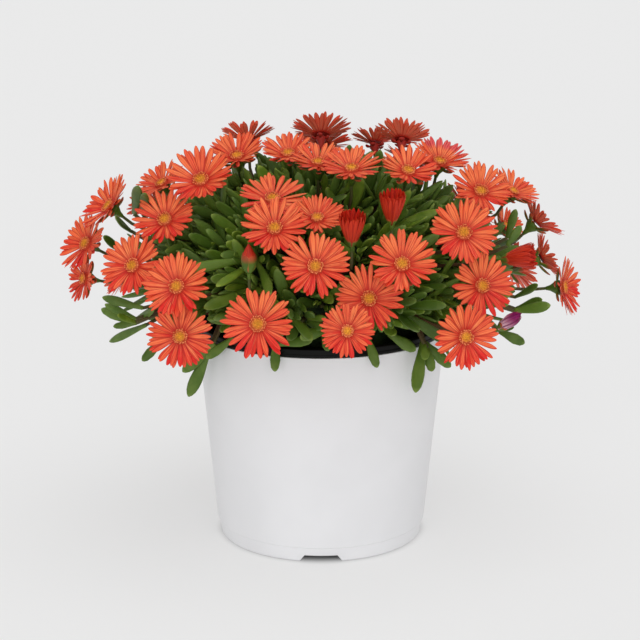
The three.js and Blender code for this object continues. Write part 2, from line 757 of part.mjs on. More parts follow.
function stalkSolid({ top, neck, bend, root, calyx }, face) {
  const back = face.clone().negate();
  const inward = root.clone().sub(bend).normalize();
  const turning = back.clone().add(inward).normalize();
  return toSolid(loft([
    ringRound(top, back, calyx, STALK_SIDES),
    ringRound(neck, back, CALYX_FOOT_RADIUS, STALK_SIDES),
    ringRound(bend, turning, STALK_RADIUS, STALK_SIDES),
    ringRound(root, inward, STALK_RADIUS, STALK_SIDES),
  ]));
}

// Points along a stalk, for leaves to keep away from
function stalkSpine({ neck, bend, root }) {
  const points = [];
  for (const [from, to] of [[neck, bend], [bend, root]]) {
    const count = Math.ceil(from.distanceTo(to) / LEAF_SPACING);
    for (let i = 0; i < count; i += 1) {
      points.push(from.clone().lerp(to, i / count));
    }
  }
  return points;
}

// Leaves: three-sided blades, flat above and keeled below, widest past the middle

function leafFrame(leaf) {
  const along = leaf.along.clone().normalize();
  const side = along.clone().cross(leaf.up).normalize();
  const up = side.clone().cross(along);
  return { along, side, up };
}

function leafPoint(leaf, frame, share, across = 0, deep = 0) {
  return leaf.root.clone()
    .addScaledVector(frame.along, leaf.length * share)
    .addScaledVector(frame.up, leaf.bend * leaf.length * share * share - deep)
    .addScaledVector(frame.side, across);
}

function leafSolid(leaf) {
  const frame = leafFrame(leaf);
  const points = [];
  for (const [share, wide] of [[0, LEAF_ROOT_SHARE], [LEAF_WIDEST, 1]]) {
    const half = (leaf.width * wide) / 2;
    const deep = leaf.width * wide * LEAF_DEPTH_SHARE;
    points.push(leafPoint(leaf, frame, share, half), leafPoint(leaf, frame, share, 0, deep),
      leafPoint(leaf, frame, share, -half));
  }
  const tip = leaf.width * LEAF_TIP_SHARE / 2;
  points.push(leafPoint(leaf, frame, 1, tip), leafPoint(leaf, frame, 1, -tip));
  return toSolid(closedMesh(points, [
    [0, 2, 1], [0, 1, 4], [0, 4, 3], [1, 2, 5], [1, 5, 4], [2, 0, 3], [2, 3, 5],
    [3, 4, 6], [4, 5, 7], [4, 7, 6], [5, 3, 6], [5, 6, 7],
  ]));
}

// Points along the middle of a leaf
function leafSpine(leaf) {
  const frame = leafFrame(leaf);
  return LEAF_SPINE.map((share) => leafPoint(leaf, frame, share, 0, LEAF_HALF_DEPTH));
}

// Whether a point is clear of the pot's rim and inside the dome
function inPlantRoom(point) {
  const besideRim = Math.hypot(point.x, point.y) > POT_TOP_RADIUS + RIM_ROOM.beside;
  const aboveRim = point.z > POT_HEIGHT + LIP_HEIGHT + RIM_ROOM.above;
  const reach = point.clone().sub(DOME_MIDDLE).divide(DOME_SIZE).length();
  return point.z > LEAF_LOWEST && (besideRim || aboveRim) && reach < LEAF_DOME_SHARE;
}

// Whether a point touches a bloom or hides its face
function spoilsBloom(point, bloom) {
  const { gap, away, over, height } = bloomGap(bloom, point);
  const before = over > -FACE_ROOM.behind && height < FACE_ROOM.before;
  return gap < LEAF_MARGIN || (away < bloom.radius && before);
}

// A leaf keeps clear of the rim, of blooms and their faces, and of places
// that other leaves and stalks have taken
function leafFree(leaf, blooms, taken) {
  const frame = leafFrame(leaf);
  const middle = leafPoint(leaf, frame, 0.6);
  const near = blooms.filter((bloom) => bloom.place.distanceTo(middle) < LEAF_SIGHT);
  const close = taken.filter((point) => point.distanceTo(middle) < LEAF_SIGHT);
  for (const share of LEAF_SHARES) {
    for (const side of LEAF_SIDES) {
      const point = leafPoint(leaf, frame, share, side * leaf.width, LEAF_HALF_DEPTH);
      if (!inPlantRoom(point) || near.some((bloom) => spoilsBloom(point, bloom))) {
        return false;
      }
    }
  }
  const spine = leafSpine(leaf);
  return close.every((other) => spine.every((point) => point.distanceTo(other) > LEAF_SPACING));
}

// A tuft stands on the heart, raised a little towards the light. Its leaves
// are by turns nearly upright and spreading.
function makeTuft(radius, height, round, random) {
  const foot = new THREE.Vector3(
    radius * Math.cos(round), HEART_DEPTH_SHARE * radius * Math.sin(round), height);
  const out = foot.clone().sub(HEART_MIDDLE).normalize();
  out.z += mix(...TUFT_LEAN, random());
  out.normalize();
  const lift = mix(...TUFT_LIFT, random());
  const leaves = [];
  for (let k = 0; k < TUFT_LEAVES; k += 1) {
    leaves.push({
      rise: radians(mix(...(k % 2 ? UPRIGHT_RISE : SPREADING_RISE), random())),
      length: mix(...LEAF_LENGTH, random()),
      width: mix(...LEAF_WIDTH, random()),
      bend: mix(...LEAF_BEND, random()),
    });
  }
  const place = foot.addScaledVector(out, lift);
  return { place, out, spin: mix(0, Math.PI, random()), depth: lift + TUFT_ROOT, leaves };
}

function tuftTurn(tuft) {
  const turn = new THREE.Quaternion().setFromUnitVectors(new THREE.Vector3(0, 0, 1), tuft.out);
  return turn.multiply(
    new THREE.Quaternion().setFromAxisAngle(new THREE.Vector3(0, 0, 1), tuft.spin));
}

// The same leaf as a blade on its own, with its root on the tuft's hub
function tuftLeaf(tuft, leaf, k) {
  const turn = (k * 2 * Math.PI) / TUFT_LEAVES;
  const across = new THREE.Vector3(Math.cos(turn), Math.sin(turn), 0);
  const along = across.clone().multiplyScalar(Math.cos(leaf.rise)).setZ(Math.sin(leaf.rise));
  const up = across.clone().multiplyScalar(-Math.sin(leaf.rise)).setZ(Math.cos(leaf.rise));
  const spun = tuftTurn(tuft);
  const root = across.multiplyScalar(TUFT_HUB).applyQuaternion(spun).add(tuft.place);
  return { ...leaf, root, along: along.applyQuaternion(spun), up: up.applyQuaternion(spun) };
}

// Leaves are shortened until they are clear of blooms, faces and the rim
function trimTuft(tuft, blooms, taken) {
  const leaves = tuft.leaves.map((leaf, k) => {
    const tries = LEAF_TRIMS.map((share) => ({ ...leaf, length: leaf.length * share }));
    const none = { ...leaf, length: 0 };
    return tries.find((tried) => leafFree(tuftLeaf(tuft, tried, k), blooms, taken)) ?? none;
  });
  return { ...tuft, leaves };
}

function tuftSolid(tuft) {
  const blades = tuft.leaves.map((leaf) => {
    const half = leaf.width / 2;
    return {
      ...leaf, keel: TUFT_KEEL, deep: leaf.width * LEAF_DEPTH_SHARE,
      outline: [[LEAF_WIDEST, -half], [1, 0], [LEAF_WIDEST, half]],
    };
  });
  const { points, faces, rim } = whorl(TUFT_HUB, tuft.depth, blades);
  for (let i = 1; i < rim.length - 1; i += 1) {
    faces.push([rim[0], rim[i], rim[i + 1]]);
  }
  const geometry = closedMesh(points, faces);
  geometry.applyQuaternion(tuftTurn(tuft));
  geometry.translate(...tuft.place.toArray());
  return toSolid(geometry);
}

function tufts(blooms, taken) {
  const random = randomSource(5);
  const all = [];
  TUFT_ROWS.forEach(([radius, height, count], row) => {
    for (let i = 0; i < count; i += 1) {
      const round = ((i + 0.5 * (row % 2) + mix(...TUFT_TURN, random())) * 2 * Math.PI) / count;
      const tuft = trimTuft(makeTuft(radius, height, round, random), blooms, taken);
      const spines = tuft.leaves.flatMap(
        (leaf, k) => (leaf.length > 0 ? [leafSpine(tuftLeaf(tuft, leaf, k))] : []));
      const hidden = blooms.some((bloom) => bloomGap(bloom, tuft.place).gap < TUFT_MARGIN);
      if (spines.length >= TUFT_FEWEST && !hidden) {
        taken.push(...spines.flat());
        all.push(tuft);
      }
    }
  });
  return all;
}

function hangingLeaf(tip) {
  const level = Math.hypot(tip.x, tip.y);
  const outward = new THREE.Vector3(tip.x / level, tip.y / level, 0);
  const root = outward.clone().multiplyScalar(HANGING_ROOT[0]).setZ(HANGING_ROOT[1]);
  const along = tip.clone().sub(root);
  return {
    root, along, up: outward, length: along.length(), width: HANGING_WIDTH, bend: HANGING_BEND,
  };
}

function hangingLeaves() {
  const tips = HANGING_LEAVES.map(({ seen, away }) => onCylinder(seen, away));
  for (const [round, height] of FAR_HANGING_LEAVES) {
    const turn = radians(round);
    tips.push(new THREE.Vector3(
      FAR_HANGING_AWAY * Math.cos(turn), FAR_HANGING_AWAY * Math.sin(turn), height));
  }
  return tips.map((tip) => leafSolid(hangingLeaf(tip)));
}

// A shoot's stem comes out of the heart, and its leaves lie with their flat
// sides up and towards the viewer
function shoot({ node, tips }) {
  const end = onCylinder(node.seen, node.away);
  const level = Math.hypot(end.x, end.y);
  const root = end.clone().multiplyScalar(SHOOT_ROOT[0] / level).setZ(SHOOT_ROOT[1]);
  const along = end.clone().sub(root).normalize();
  const stem = toSolid(loft([
    ringRound(root, along, STALK_RADIUS, STALK_SIDES), ringRound(end, along, STALK_RADIUS, STALK_SIDES),
  ]));
  const leaves = tips.map(({ seen, away }) => {
    const reach = onCylinder(seen, away).sub(end);
    return leafSolid({
      root: end, along: reach, up: SHOOT_FACE, length: reach.length(), width: HANGING_WIDTH,
      bend: HANGING_BEND,
    });
  });
  return [stem, ...leaves];
}

function heart() {
  const top = SOIL_TOP - CROWN_DEPTH;
  const profile = [[0, top], [CROWN_RADIUS, top], [CROWN_RADIUS, HEART_PROFILE[0][1]],
    ...HEART_PROFILE, [0, HEART_TOP]];
  const geometry = positionsOnly(turned(profile, HEART_SIDES));
  geometry.scale(1, HEART_DEPTH_SHARE, 1);
  const random = randomSource(3);
  const place = geometry.attributes.position;
  for (let i = 0; i < place.count; i += 1) {
    const point = new THREE.Vector3().fromBufferAttribute(place, i);
    const bump = either(HEART_BUMPS, random);
    if (point.z > POT_HEIGHT + LIP_HEIGHT + HEART_EVEN) {
      point.addScaledVector(point.clone().sub(HEART_MIDDLE).normalize(), bump);
      place.setXYZ(i, point.x, point.y, point.z);
    }
  }
  return toSolid(geometry);
}

function foliage(blooms) {
  const paths = blooms.map((bloom) => stalkPath(bloom, blooms));
  const stalks = paths.map((path, i) => stalkSolid(path, blooms[i].face));
  const taken = paths.flatMap(stalkSpine);
  const leaves = tufts(blooms, taken).map(tuftSolid);
  const shoots = SEEN_SHOOTS.flatMap(shoot);
  return toGeometry(union([heart(), ...stalks, ...leaves, ...hangingLeaves(), ...shoots]));
}

// The whole object

const firstFar = SEEN_BLOOMS.length + 1;
const blooms = settle([
  ...SEEN_BLOOMS.map((spec, i) => seenBloom(spec, `bloom_${String(i + 1).padStart(2, "0")}`)),
  ...CLOSED_BLOOMS.map((spec) => seenBloom(spec, spec.name)),
  ...farBlooms(firstFar),
]);

const plant = new THREE.Group();
const leafMaterial = finish(COLOURS.leaf, 0.55);
plant.add(Object.assign(new THREE.Mesh(foliage(blooms), leafMaterial), { name: "foliage" }));
for (const bloom of blooms) {
  const colour = bloom.name === "spent_bloom" ? COLOURS.spent : COLOURS.petal;
  plant.add(bloomMesh(bloom, finish(colour, 0.6)));
}

const pot = new THREE.Group();
pot.add(Object.assign(new THREE.Mesh(potShell(), finish(COLOURS.pot, 0.4)), { name: "pot_shell" }));
pot.add(Object.assign(new THREE.Mesh(potLiner(), finish(COLOURS.liner, 0.5)), { name: "pot_liner" }));
pot.add(Object.assign(new THREE.Mesh(soilBody(), finish(COLOURS.soil, 0.95)), { name: "soil" }));

const object = new THREE.Group();
object.add(pot, plant);
export default object;
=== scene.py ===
import math

import bmesh
import bpy
import numpy as np
from mathutils import Matrix


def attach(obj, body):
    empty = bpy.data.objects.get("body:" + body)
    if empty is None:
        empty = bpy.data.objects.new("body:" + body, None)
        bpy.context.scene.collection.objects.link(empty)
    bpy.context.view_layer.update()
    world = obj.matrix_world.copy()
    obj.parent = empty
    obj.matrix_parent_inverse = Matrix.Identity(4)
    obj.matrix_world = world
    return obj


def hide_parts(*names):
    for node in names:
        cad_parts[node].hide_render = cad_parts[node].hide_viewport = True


# A potted ice plant in its looks: a white pot with a dark inner pot, soil, and
# a dome of fleshy leaves and daisy-like blooms. Millimetres until a mesh is
# made, +Z up, and the viewer stands at -Y.

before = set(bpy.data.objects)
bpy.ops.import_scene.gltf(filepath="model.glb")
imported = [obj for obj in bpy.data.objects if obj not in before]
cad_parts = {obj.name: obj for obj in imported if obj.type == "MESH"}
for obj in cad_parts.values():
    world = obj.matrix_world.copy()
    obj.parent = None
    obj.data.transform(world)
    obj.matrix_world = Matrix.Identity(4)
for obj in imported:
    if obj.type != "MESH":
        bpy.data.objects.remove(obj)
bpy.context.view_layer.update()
MM = 0.001
CIRCLE = 2 * math.pi

# The golden angle as a share of half a circle, and a direction along no axis
GOLDEN = 3 - math.sqrt(5)
OFF_AXIS = (0.31, 0.17, 0.93)

# The viewer's eye, its downward pitch, and the picture that it sees
EYE = np.array([-0.65, -1265.5, 471.9])
PITCH = math.radians(14.44)
FORWARD = np.array([0, math.cos(PITCH), -math.sin(PITCH)])
UPWARD = np.array([0, math.sin(PITCH), math.cos(PITCH)])
FOCAL = 1950
PICTURE_SIZE = 640
SENSOR = 36

# The pot, as in the solids
POT_HEIGHT = 142.2
POT_TOP_RADIUS = 83.2
POT_LOW_RADIUS = 70.5
POT_WALL = 1.7
FOOT_HEIGHT = 10.4
FOOT_STEP = 0.8
FOOT_RING = 3.4
FOOT_LEAN = 0.7
FOOT_INSET = 1.5
FOOT_EDGE = 0.8
FLOOR_LIFT = 6
FLOOR_THICK = 1.8
NOTCH = {"count": 4, "low": 30, "high": 21.7, "height": 4.5, "below": 1.1, "from": 58, "depth": 20}
DRAIN = {"count": 4, "radius": 5, "away": 38, "sides": 32}
CUT_SPARE = 2
FIT_GAP = 0.4
TOUCH_GAP = 0.3
LINER_WALL = 1.3
LIP_HEIGHT = 6.1
LIP_WIDTH = 3.2
LIP_INSET = 0.1
LIP_BAND = 1.6
LIP_STEP = {"inset": 0.35, "height": 2.1}
LIP_TAPER = 0.2
LIP_ROUND = 0.9
LIP_FLARE = 3
TURNED_SIDES = 160

# Softened corners: the reach of the curves in a profile, the width of a cut's
# bevel, and the angles from which an edge is bevelled or stays sharp
POT_CORNER = 0.35
LINER_CORNER = 0.5
CORNER_STEPS = 4
BEVEL = 0.25
BEVEL_ANGLE = math.radians(38)
SHARP_ANGLE = math.radians(32)

# Soil with an uneven top that sinks towards its edge, and crumbs on it
SOIL_TOP = 132
SOIL_SAG = 3
SOIL_LEVEL_RADIUS = 45
SOIL_SAG_WIDTH = 30
SOIL_GAP = 1
SOIL_SIDES = 96
SOIL_RINGS = 18
SOIL_INMOST = 4
SOIL_ROUGH = 1.6
CRUMBS = 420
CRUMB_AWAY = (48, 74)
CRUMB_SIZE = (0.5, 1.5)
CRUMB_SUNK = 1.2

# The heart of stems and shaded leaves that the plant's parts stand out of, coloured dark green as painted
# shade
CROWN_PROFILE = [(9, 120), (9, 133.6)]
HEART_PROFILE = [(60, 133.6), (69, 141), (71, 151), (82, 163), (87, 177), (82, 195), (69, 209),
                 (48, 221), (24, 227)]
HEART_TOP = 229
HEART_SIDES = 72
HEART_ROUGH = 0.06
HEART_DEPTH_SHARE = 0.97
HEART_SHRINK = 0.95
HEART_SHRINKS_FROM = 150
HEART_MIDDLE = np.array([0, 0, 178])
DOME_MIDDLE = np.array([0, 0, 142])
DOME_SIZE = np.array([160, 155, 128])

# Open blooms, as in the solids
HUB_DEPTH = 1.2
HUB_LEVEL = 0.1
SOLID_WIDTH_SHARE = 0.62
LAYER_ANGLE = 4
POINTS_A_PETAL = 4.5

# Petals of an open bloom, in two layers, with their width at a bloom radius
BLOOM_RADIUS = 21.5
PETALS_A_LAYER = 19
PETAL_WIDTH = 3.5
PETAL_DEPTH_SHARE = 0.5
PETAL_ROOT_SHARE = 0.64
PETAL_SPREAD = 2.6
PETAL_BEND = -0.03
PETAL_LENGTHS = (0.88, 1.03)
PETAL_WIDTHS = (0.86, 1.08)
PETAL_STRAY = {"place": 0.28, "rise": 2.6, "sway": 0.06, "tone": 0.38, "bend": 0.06, "twist": 0.4}
PETAL_CREASE = math.radians(60)
PETAL_GLOW = 1.5

# A petal's tone where it lies level, and the painted light that it gains where it points up
LEVEL_TONE = 0.48
RISING_PAINTED_LIGHT = 0.4

# The disc: its radius as a share of the bloom's, and its rise and rings as
# shares of its own. Then the anthers on it and round it.
DISC_SHARE = 0.195
DISC_RISE = 0.42
DISC_RINGS = np.array([1.3, 1.1, 0.9, 0.65, 0.35, 0.08])
DISC_SIDES = 20
DISC_SUNK = 0.3
ANTHERS = 60
ANTHERS_REACH = 0.8
RING_ANTHERS = 38
RING_REACH = (0.86, 1.18)
ANTHER_STRAY = 0.1
ANTHER_DOME = 1.35
ANTHER_LIFT = 0.9
ANTHER_UNEVEN = (0, 0.4)
ANTHER_SPLAY = 0.5
ANTHER_SIZE = (0.36, 0.5)

# A grain as shares of its size: its rings' heights and radii, and its ends
GRAIN_SIDES = 5
GRAIN_RINGS = [(-0.5, 0.85), (0.5, 0.95)]
GRAIN_FOOT = 1.6
GRAIN_TOP = 1.05

# The bloom that is flushed with pink, and the side of it that is
FLUSHED_BLOOM = "bloom_20"
FLUSHED_SIDE = np.array([0.35, 0.6, 0.72])
FLUSHED_FROM = 0.6
FLUSH_TONE = 1.5
PINK_FLUSH = (216, 70, 92)

# Furled flowers: the profile's heights over the hub and radii, the layers of
# petals (how many, how far inside, and up to which height), the petals' width
# and lean, and the sepals' height, width, place inside and lean
HALF_OPEN = {
    "profile": [(-8, 1.1), (-5, 2.7), (-1, 4.6), (4, 6.4), (9, 7.7), (14, 8.4)],
    "layers": [(17, 0, 13), (15, 0.7, 13.6), (12, 2, 13), (8, 3.8, 12.2)],
    "petal": (3, 0.15), "sepal": (-2.5, 3.6, -0.4, 0.15), "look": "young", "slot": "petal"}
BUD = {
    "profile": [(-7, 1.2), (-5, 3), (-2, 4.2), (2, 4.4), (5.5, 3.6), (9, 2.1), (12, 0.6)],
    "layers": [(10, 0.3, 12)],
    "petal": (3.4, 0.15), "sepal": (6, 6.8, -0.1, 0.3), "look": "bud", "slot": "petal"}
SPENT = {
    "profile": [(-7, 1.2), (-4, 2.6), (0, 3.5), (4, 4), (7.5, 3.4), (11.5, 2.8)],
    "layers": [(11, 0, 9), (10, 0.7, 10.5), (8, 1.6, 11), (6, 2.4, 11.5)],
    "petal": (2.4, 0.7), "sepal": (-1.5, 3.4, -0.5, 0.15), "look": "spent", "slot": "petal_spent"}
FURLED_TIPS = (0.92, 1.04)
FURLED_STRAY = 0.15
FURLED_LEAST_RADIUS = 0.5

# The furled flowers with their seeds
FURLED_FLOWERS = {"half_open_1": (HALF_OPEN, 350), "half_open_2": (HALF_OPEN, 351),
                  "half_open_3": (HALF_OPEN, 352), "bud": (BUD, 400), "spent_bloom": (SPENT, 500)}

# The calyx: depths under the bloom and shares of its radius, and its sepals
CALYX_RADIUS = 5.4
CALYX_LENGTH = 8.5
CALYX_STEPS = 4
CALYX_DEPTHS = np.array([0.1, 0.6, 1.6, 3.2, 5, 7, CALYX_LENGTH + 1.5])
CALYX_SHARES = np.array([0.72, 0.92, 0.95, 0.8, 0.58, 0.36, 0.22])
SEPALS = 5
SEPAL_LENGTH = (8, 12.5)
SEPAL_WIDTH = (3.6, 4.6)
SEPAL_DEPTH = 1.5
SEPAL_BEND = 0.1
SEPAL_DROP = 12
SEPAL_HIGHEST = 50
SEPAL_ROOT = {"under": 1.6, "share": 0.62}
RED_CALYXES = ["bloom_32", "bloom_33", "bloom_34", "bloom_35"]
RED_CALYX = {"width": 0.7, "sepals": 0.35, "tone": 1.5}

# Stalks, as in the solids, with the ways that they may take in their order
STALK_STRAIGHT = [16, 8, 26, 3]
STALK_TURNS = [0, 0.15, -0.15, 0.3, -0.3, 0.5, -0.5, 0.75, -0.75]
STALK_DROPS = [0, 14, -14, 28, -28]
STALK_ROOTS = np.array([68, 66, 38])
STALK_SIGHT = 90
STALK_STEPS = (7, 13)
SOLID_STALK_RADIUS = 1.5
STALK_RADIUS = 0.95
STALK_FLARE = 1.25

# The end of the stalk under a furled flower: depths under it, and radii
FURLED_DEPTHS = np.array([5.3, 6.5, 7.6, CALYX_LENGTH + 1.5])
FURLED_RADII = (1, 1.6, 1.3, STALK_RADIUS)

# Tufts of leaves, as in the solids: radius, height and how many in each row
TUFT_ROWS = [(79, 160, 9), (86, 174, 9), (84, 188, 9), (76, 202, 8), (62, 214, 7), (41, 223, 5),
             (14, 228, 3)]
TUFT_LEAVES = 6
TUFT_HUB = 2.7
TUFT_LIFT = (7, 20)
TUFT_ROOT = 9
TUFT_TOP = 2.5
TUFT_STEM = (1.7, 1.2)
TUFT_TURN = 0.2
TUFT_LEAN = (-0.1, 0.3)
TUFT_MARGIN = 8
TUFT_FEWEST = 3
UPRIGHT_RISE = (60, 76)
SPREADING_RISE = (24, 46)
LEAF_LENGTH = (30, 42)
LEAF_WIDTH = (8, 10)
LEAF_BEND = (-0.02, 0.18)
LEAF_TWIST = 0.25
LEAF_DRAWN_WIDTH = 0.82
LEAF_DEPTH_SHARE = 0.36
LEAF_TRIMS = [1, 0.85, 0.7, 0.55, 0.4]
STALK_MARGIN = 1.4
LEAF_MARGIN = 3.2
LEAF_LOWEST = 138
RIM_ROOM = {"above": 3, "beside": 4}
FACE_ROOM = {"behind": 2, "before": 16}
LEAF_DOME_SHARE = 0.96
LEAF_SPACING = 4.6
LEAF_HALF_DEPTH = 1
LEAF_SPINE = [0.4, 0.55, 0.7, 0.85, 1]
LEAF_SHARES = [0.3, 0.45, 0.6, 0.75, 0.9, 1]
LEAF_SIDES = [-0.5, 0, 0.5]

# Tones of a tuft: the least of most tufts and of the lighter ones, the share of
# lighter ones, and how far the tones of its leaves spread
TUFT_TONES = (0.15, 0.45)
LIGHTER_TUFTS = 0.3
TONE_SPREAD = 0.5

# The pixels of the rim's front, which only the leaves seen one by one cross:
# the half width, the height of its middle and how much it curves up
RIM_CLEAR_WIDTH = 96
RIM_CLEAR_HEIGHT = 347
RIM_CLEAR_CURVE = 0.0015

# Young leaves inside each tuft, upright and shorter, and a pair in its middle
YOUNG_LEAVES = 6
YOUNG_PLACE = (0.35, 0.65)
YOUNG_LENGTH = (15, 27)
YOUNG_WIDTH = (5.5, 7.5)
YOUNG_RISE = (48, 82)
YOUNG_BEND = (0, 0.16)
YOUNG_TONE = (0.35, 0.95)
YOUNG_SPACING = 2.1
PAIR = {"lean": 0.3, "length": (8, 13), "width": 5, "bend": 0.05, "tone": (0.75, 1)}

# Shorter tufts that fill the gaps, close to the heart
FILLERS = 150
FILLER_HEIGHTS = (-0.34, 0.98)
FILLER_FEET = np.array([84, 82, 50])
FILLER_LIFT = (1, 9)
FILLER_LENGTH = (20, 33)
FILLER_SPACING = 3

# Leaves that are seen one by one at the rim and beside the blooms: the pixels
# of tip and root with their distances from the pot's axis, the width in pixels
# and the tone
SEEN_LEAVES = [
    ((102.5, 297.5), 150, (143, 308), 128, 9.5, 0.4), ((105, 304.5), 147, (136, 319), 130, 8.5, 0.5),
    ((101.5, 309), 148, (133, 323), 130, 11, 0.5), ((117, 315), 148, (136, 322.5), 133, 8, 0.85),
    ((113.4, 326.5), 142, (137, 323), 128, 8, 0.45), ((111, 341.3), 138, (146, 325), 122, 10, 0.5),
    ((156, 310), 124, (131, 322), 128, 9, 0.6), ((142.4, 361), 114, (163, 339), 100, 10, 0.4),
    ((183.3, 371.6), 102, (214, 343), 90, 13, 0.55), ((189, 396), 98, (209, 350), 90, 13, 0.45),
    ((206.7, 358), 93, (233, 338), 84, 10.5, 0.6), ((274.7, 371.7), 92, (276, 340), 84.5, 10.5, 0.55),
    ((313, 340), 91, (279, 344), 87, 11, 0.55), ((377.2, 367.8), 94, (367, 336), 84.5, 10.5, 0.55),
    ((328.5, 351), 90, (323, 336), 84, 8.5, 0.35), ((415.5, 393), 97, (423, 341), 88, 13, 0.6),
    ((450.3, 367), 100, (425, 343), 88, 12, 0.5), ((432, 371.5), 96, (427, 348), 91, 10.5, 0.6),
    ((425.5, 360), 97, (424, 344), 92, 9.5, 0.7), ((415.5, 350.5), 92, (389, 334), 82, 12.5, 0.5),
    ((524.5, 343.6), 136, (499, 331), 118, 11, 0.4), ((550.8, 305.5), 154, (514, 311), 130, 12, 0.6),
    ((543, 299.5), 148, (516, 309), 128, 10, 0.5), ((539.5, 285), 148, (515, 297), 128, 8.5, 0.5),
    ((514.4, 327.2), 130, (500, 331), 120, 5, 0.4), ((516, 209), 126, (507, 238), 120, 9, 0.4),
    ((521, 226), 132, (507, 246), 124, 9, 0.45), ((139.5, 184), 128, (134, 214), 120, 12, 0.3),
    ((146.5, 191), 124, (143, 216), 116, 10, 0.4), ((113.5, 217), 142, (131, 231), 124, 10, 0.4),
    ((102, 236), 146, (126, 254), 128, 9, 0.35),
]
SEEN_STEM = {"root": (72, 172), "bend": 0.6, "lift": 1.5, "radii": (1.5, 1.1)}
SEEN_LEAF_FACE = 0.25
HANGING_BEND = 0.03

# Shoots that hang over the rim on the far side: the place round and the tip's
# height, then the root, the node of the leaves, and each of its leaves
FAR_SHOOTS = [(8, 126), (38, 136), (71, 124), (104, 134), (133, 122), (166, 131), (352, 132)]
FAR_TIP_AWAY = 99
FAR_ROOT = (77, 177)
FAR_NODE = {"share": 0.44, "out": 1.2, "bend": 0.6, "radii": (1.5, 1.2)}
FAR_LEAF = {"width": 10.8, "tone": (0.35, 0.6)}
FAR_SIDE_LEAF = {"width": 9, "bend": 0.06, "aside": 1.5, "face": 0.6, "out": (0.4, 0.9),
                 "rise": (0, 0.6), "lengths": (24, 19, 14, 10), "tone": (0.3, 0.8)}

# Studio
FLOOR_SIZE = 80
FLOOR_BELOW = 0.4
FLOOR_WHITE = 0.4
FLOOR_GLOW = 0.475
# The distances from the pot's axis over which the floor's glow rises from none to full: painted shadow
# under and round the pot's foot
FLOOR_PAINTED_SHADOW_RADII = (58, 73)
SKY_LIGHT = 0.5

# Soft lights: the side they come from, their power and their angle across
SOFTBOXES = [("top_light", (0.16, -0.2, 1), 0.9, 65), ("front_light", (-0.08, -1, 0.2), 1.15, 60)]


def random_source(seed):
    """A seeded random number from 0 to 1, the same as in the solids."""
    state = seed

    def draw():
        nonlocal state
        state = (state + 0x6D2B79F5) & 0xFFFFFFFF
        mixed = ((state ^ (state >> 15)) * (1 | state)) & 0xFFFFFFFF
        mixed = (mixed + (mixed ^ (mixed >> 7)) * (61 | mixed) & 0xFFFFFFFF) ^ mixed
        mixed &= 0xFFFFFFFF
        return (mixed ^ (mixed >> 14)) / 4294967296

    return draw


def mix(low, high, share):
    return low + (high - low) * share


def stray(most, random):
    """A random number around zero."""
    return mix(-most, most, random())


def unit(vector):
    return vector / np.linalg.norm(vector)


def axis_turn(axis, angle):
    return np.array(Matrix.Rotation(angle, 3, axis.tolist()))


def frame_of(face):
    """Two directions at right angles to a face direction, and the face."""
    side = unit(np.cross(OFF_AXIS, face))
    return np.array([side, np.cross(face, side), face])


def spoke(axes, turn):
    return axes[0] * math.cos(turn) + axes[1] * math.sin(turn)


def raised(across, face, rise):
    """A direction that rises from across towards the face, and the one over it."""
    return (across * math.cos(rise) + face * math.sin(rise),
            face * math.cos(rise) - across * math.sin(rise))


def turns_round(count):
    return np.arange(count) * CIRCLE / count


def ring_of(middle, axes, radius, turns):
    return middle + radius * (np.outer(np.cos(turns), axes[0]) + np.outer(np.sin(turns), axes[1]))


def placed(name, data):
    """A new object in the scene with some data."""
    made = bpy.data.objects.new(name, data)
    bpy.context.scene.collection.objects.link(made)
    return made


# Materials


def srgb(red, green, blue):
    """A colour as it shows in a picture, from 0 to 255, as linear values."""
    shares = [value / 255 for value in (red, green, blue)]
    return [*(s / 12.92 if s <= 0.04045 else ((s + 0.055) / 1.055) ** 2.4 for s in shares), 1]


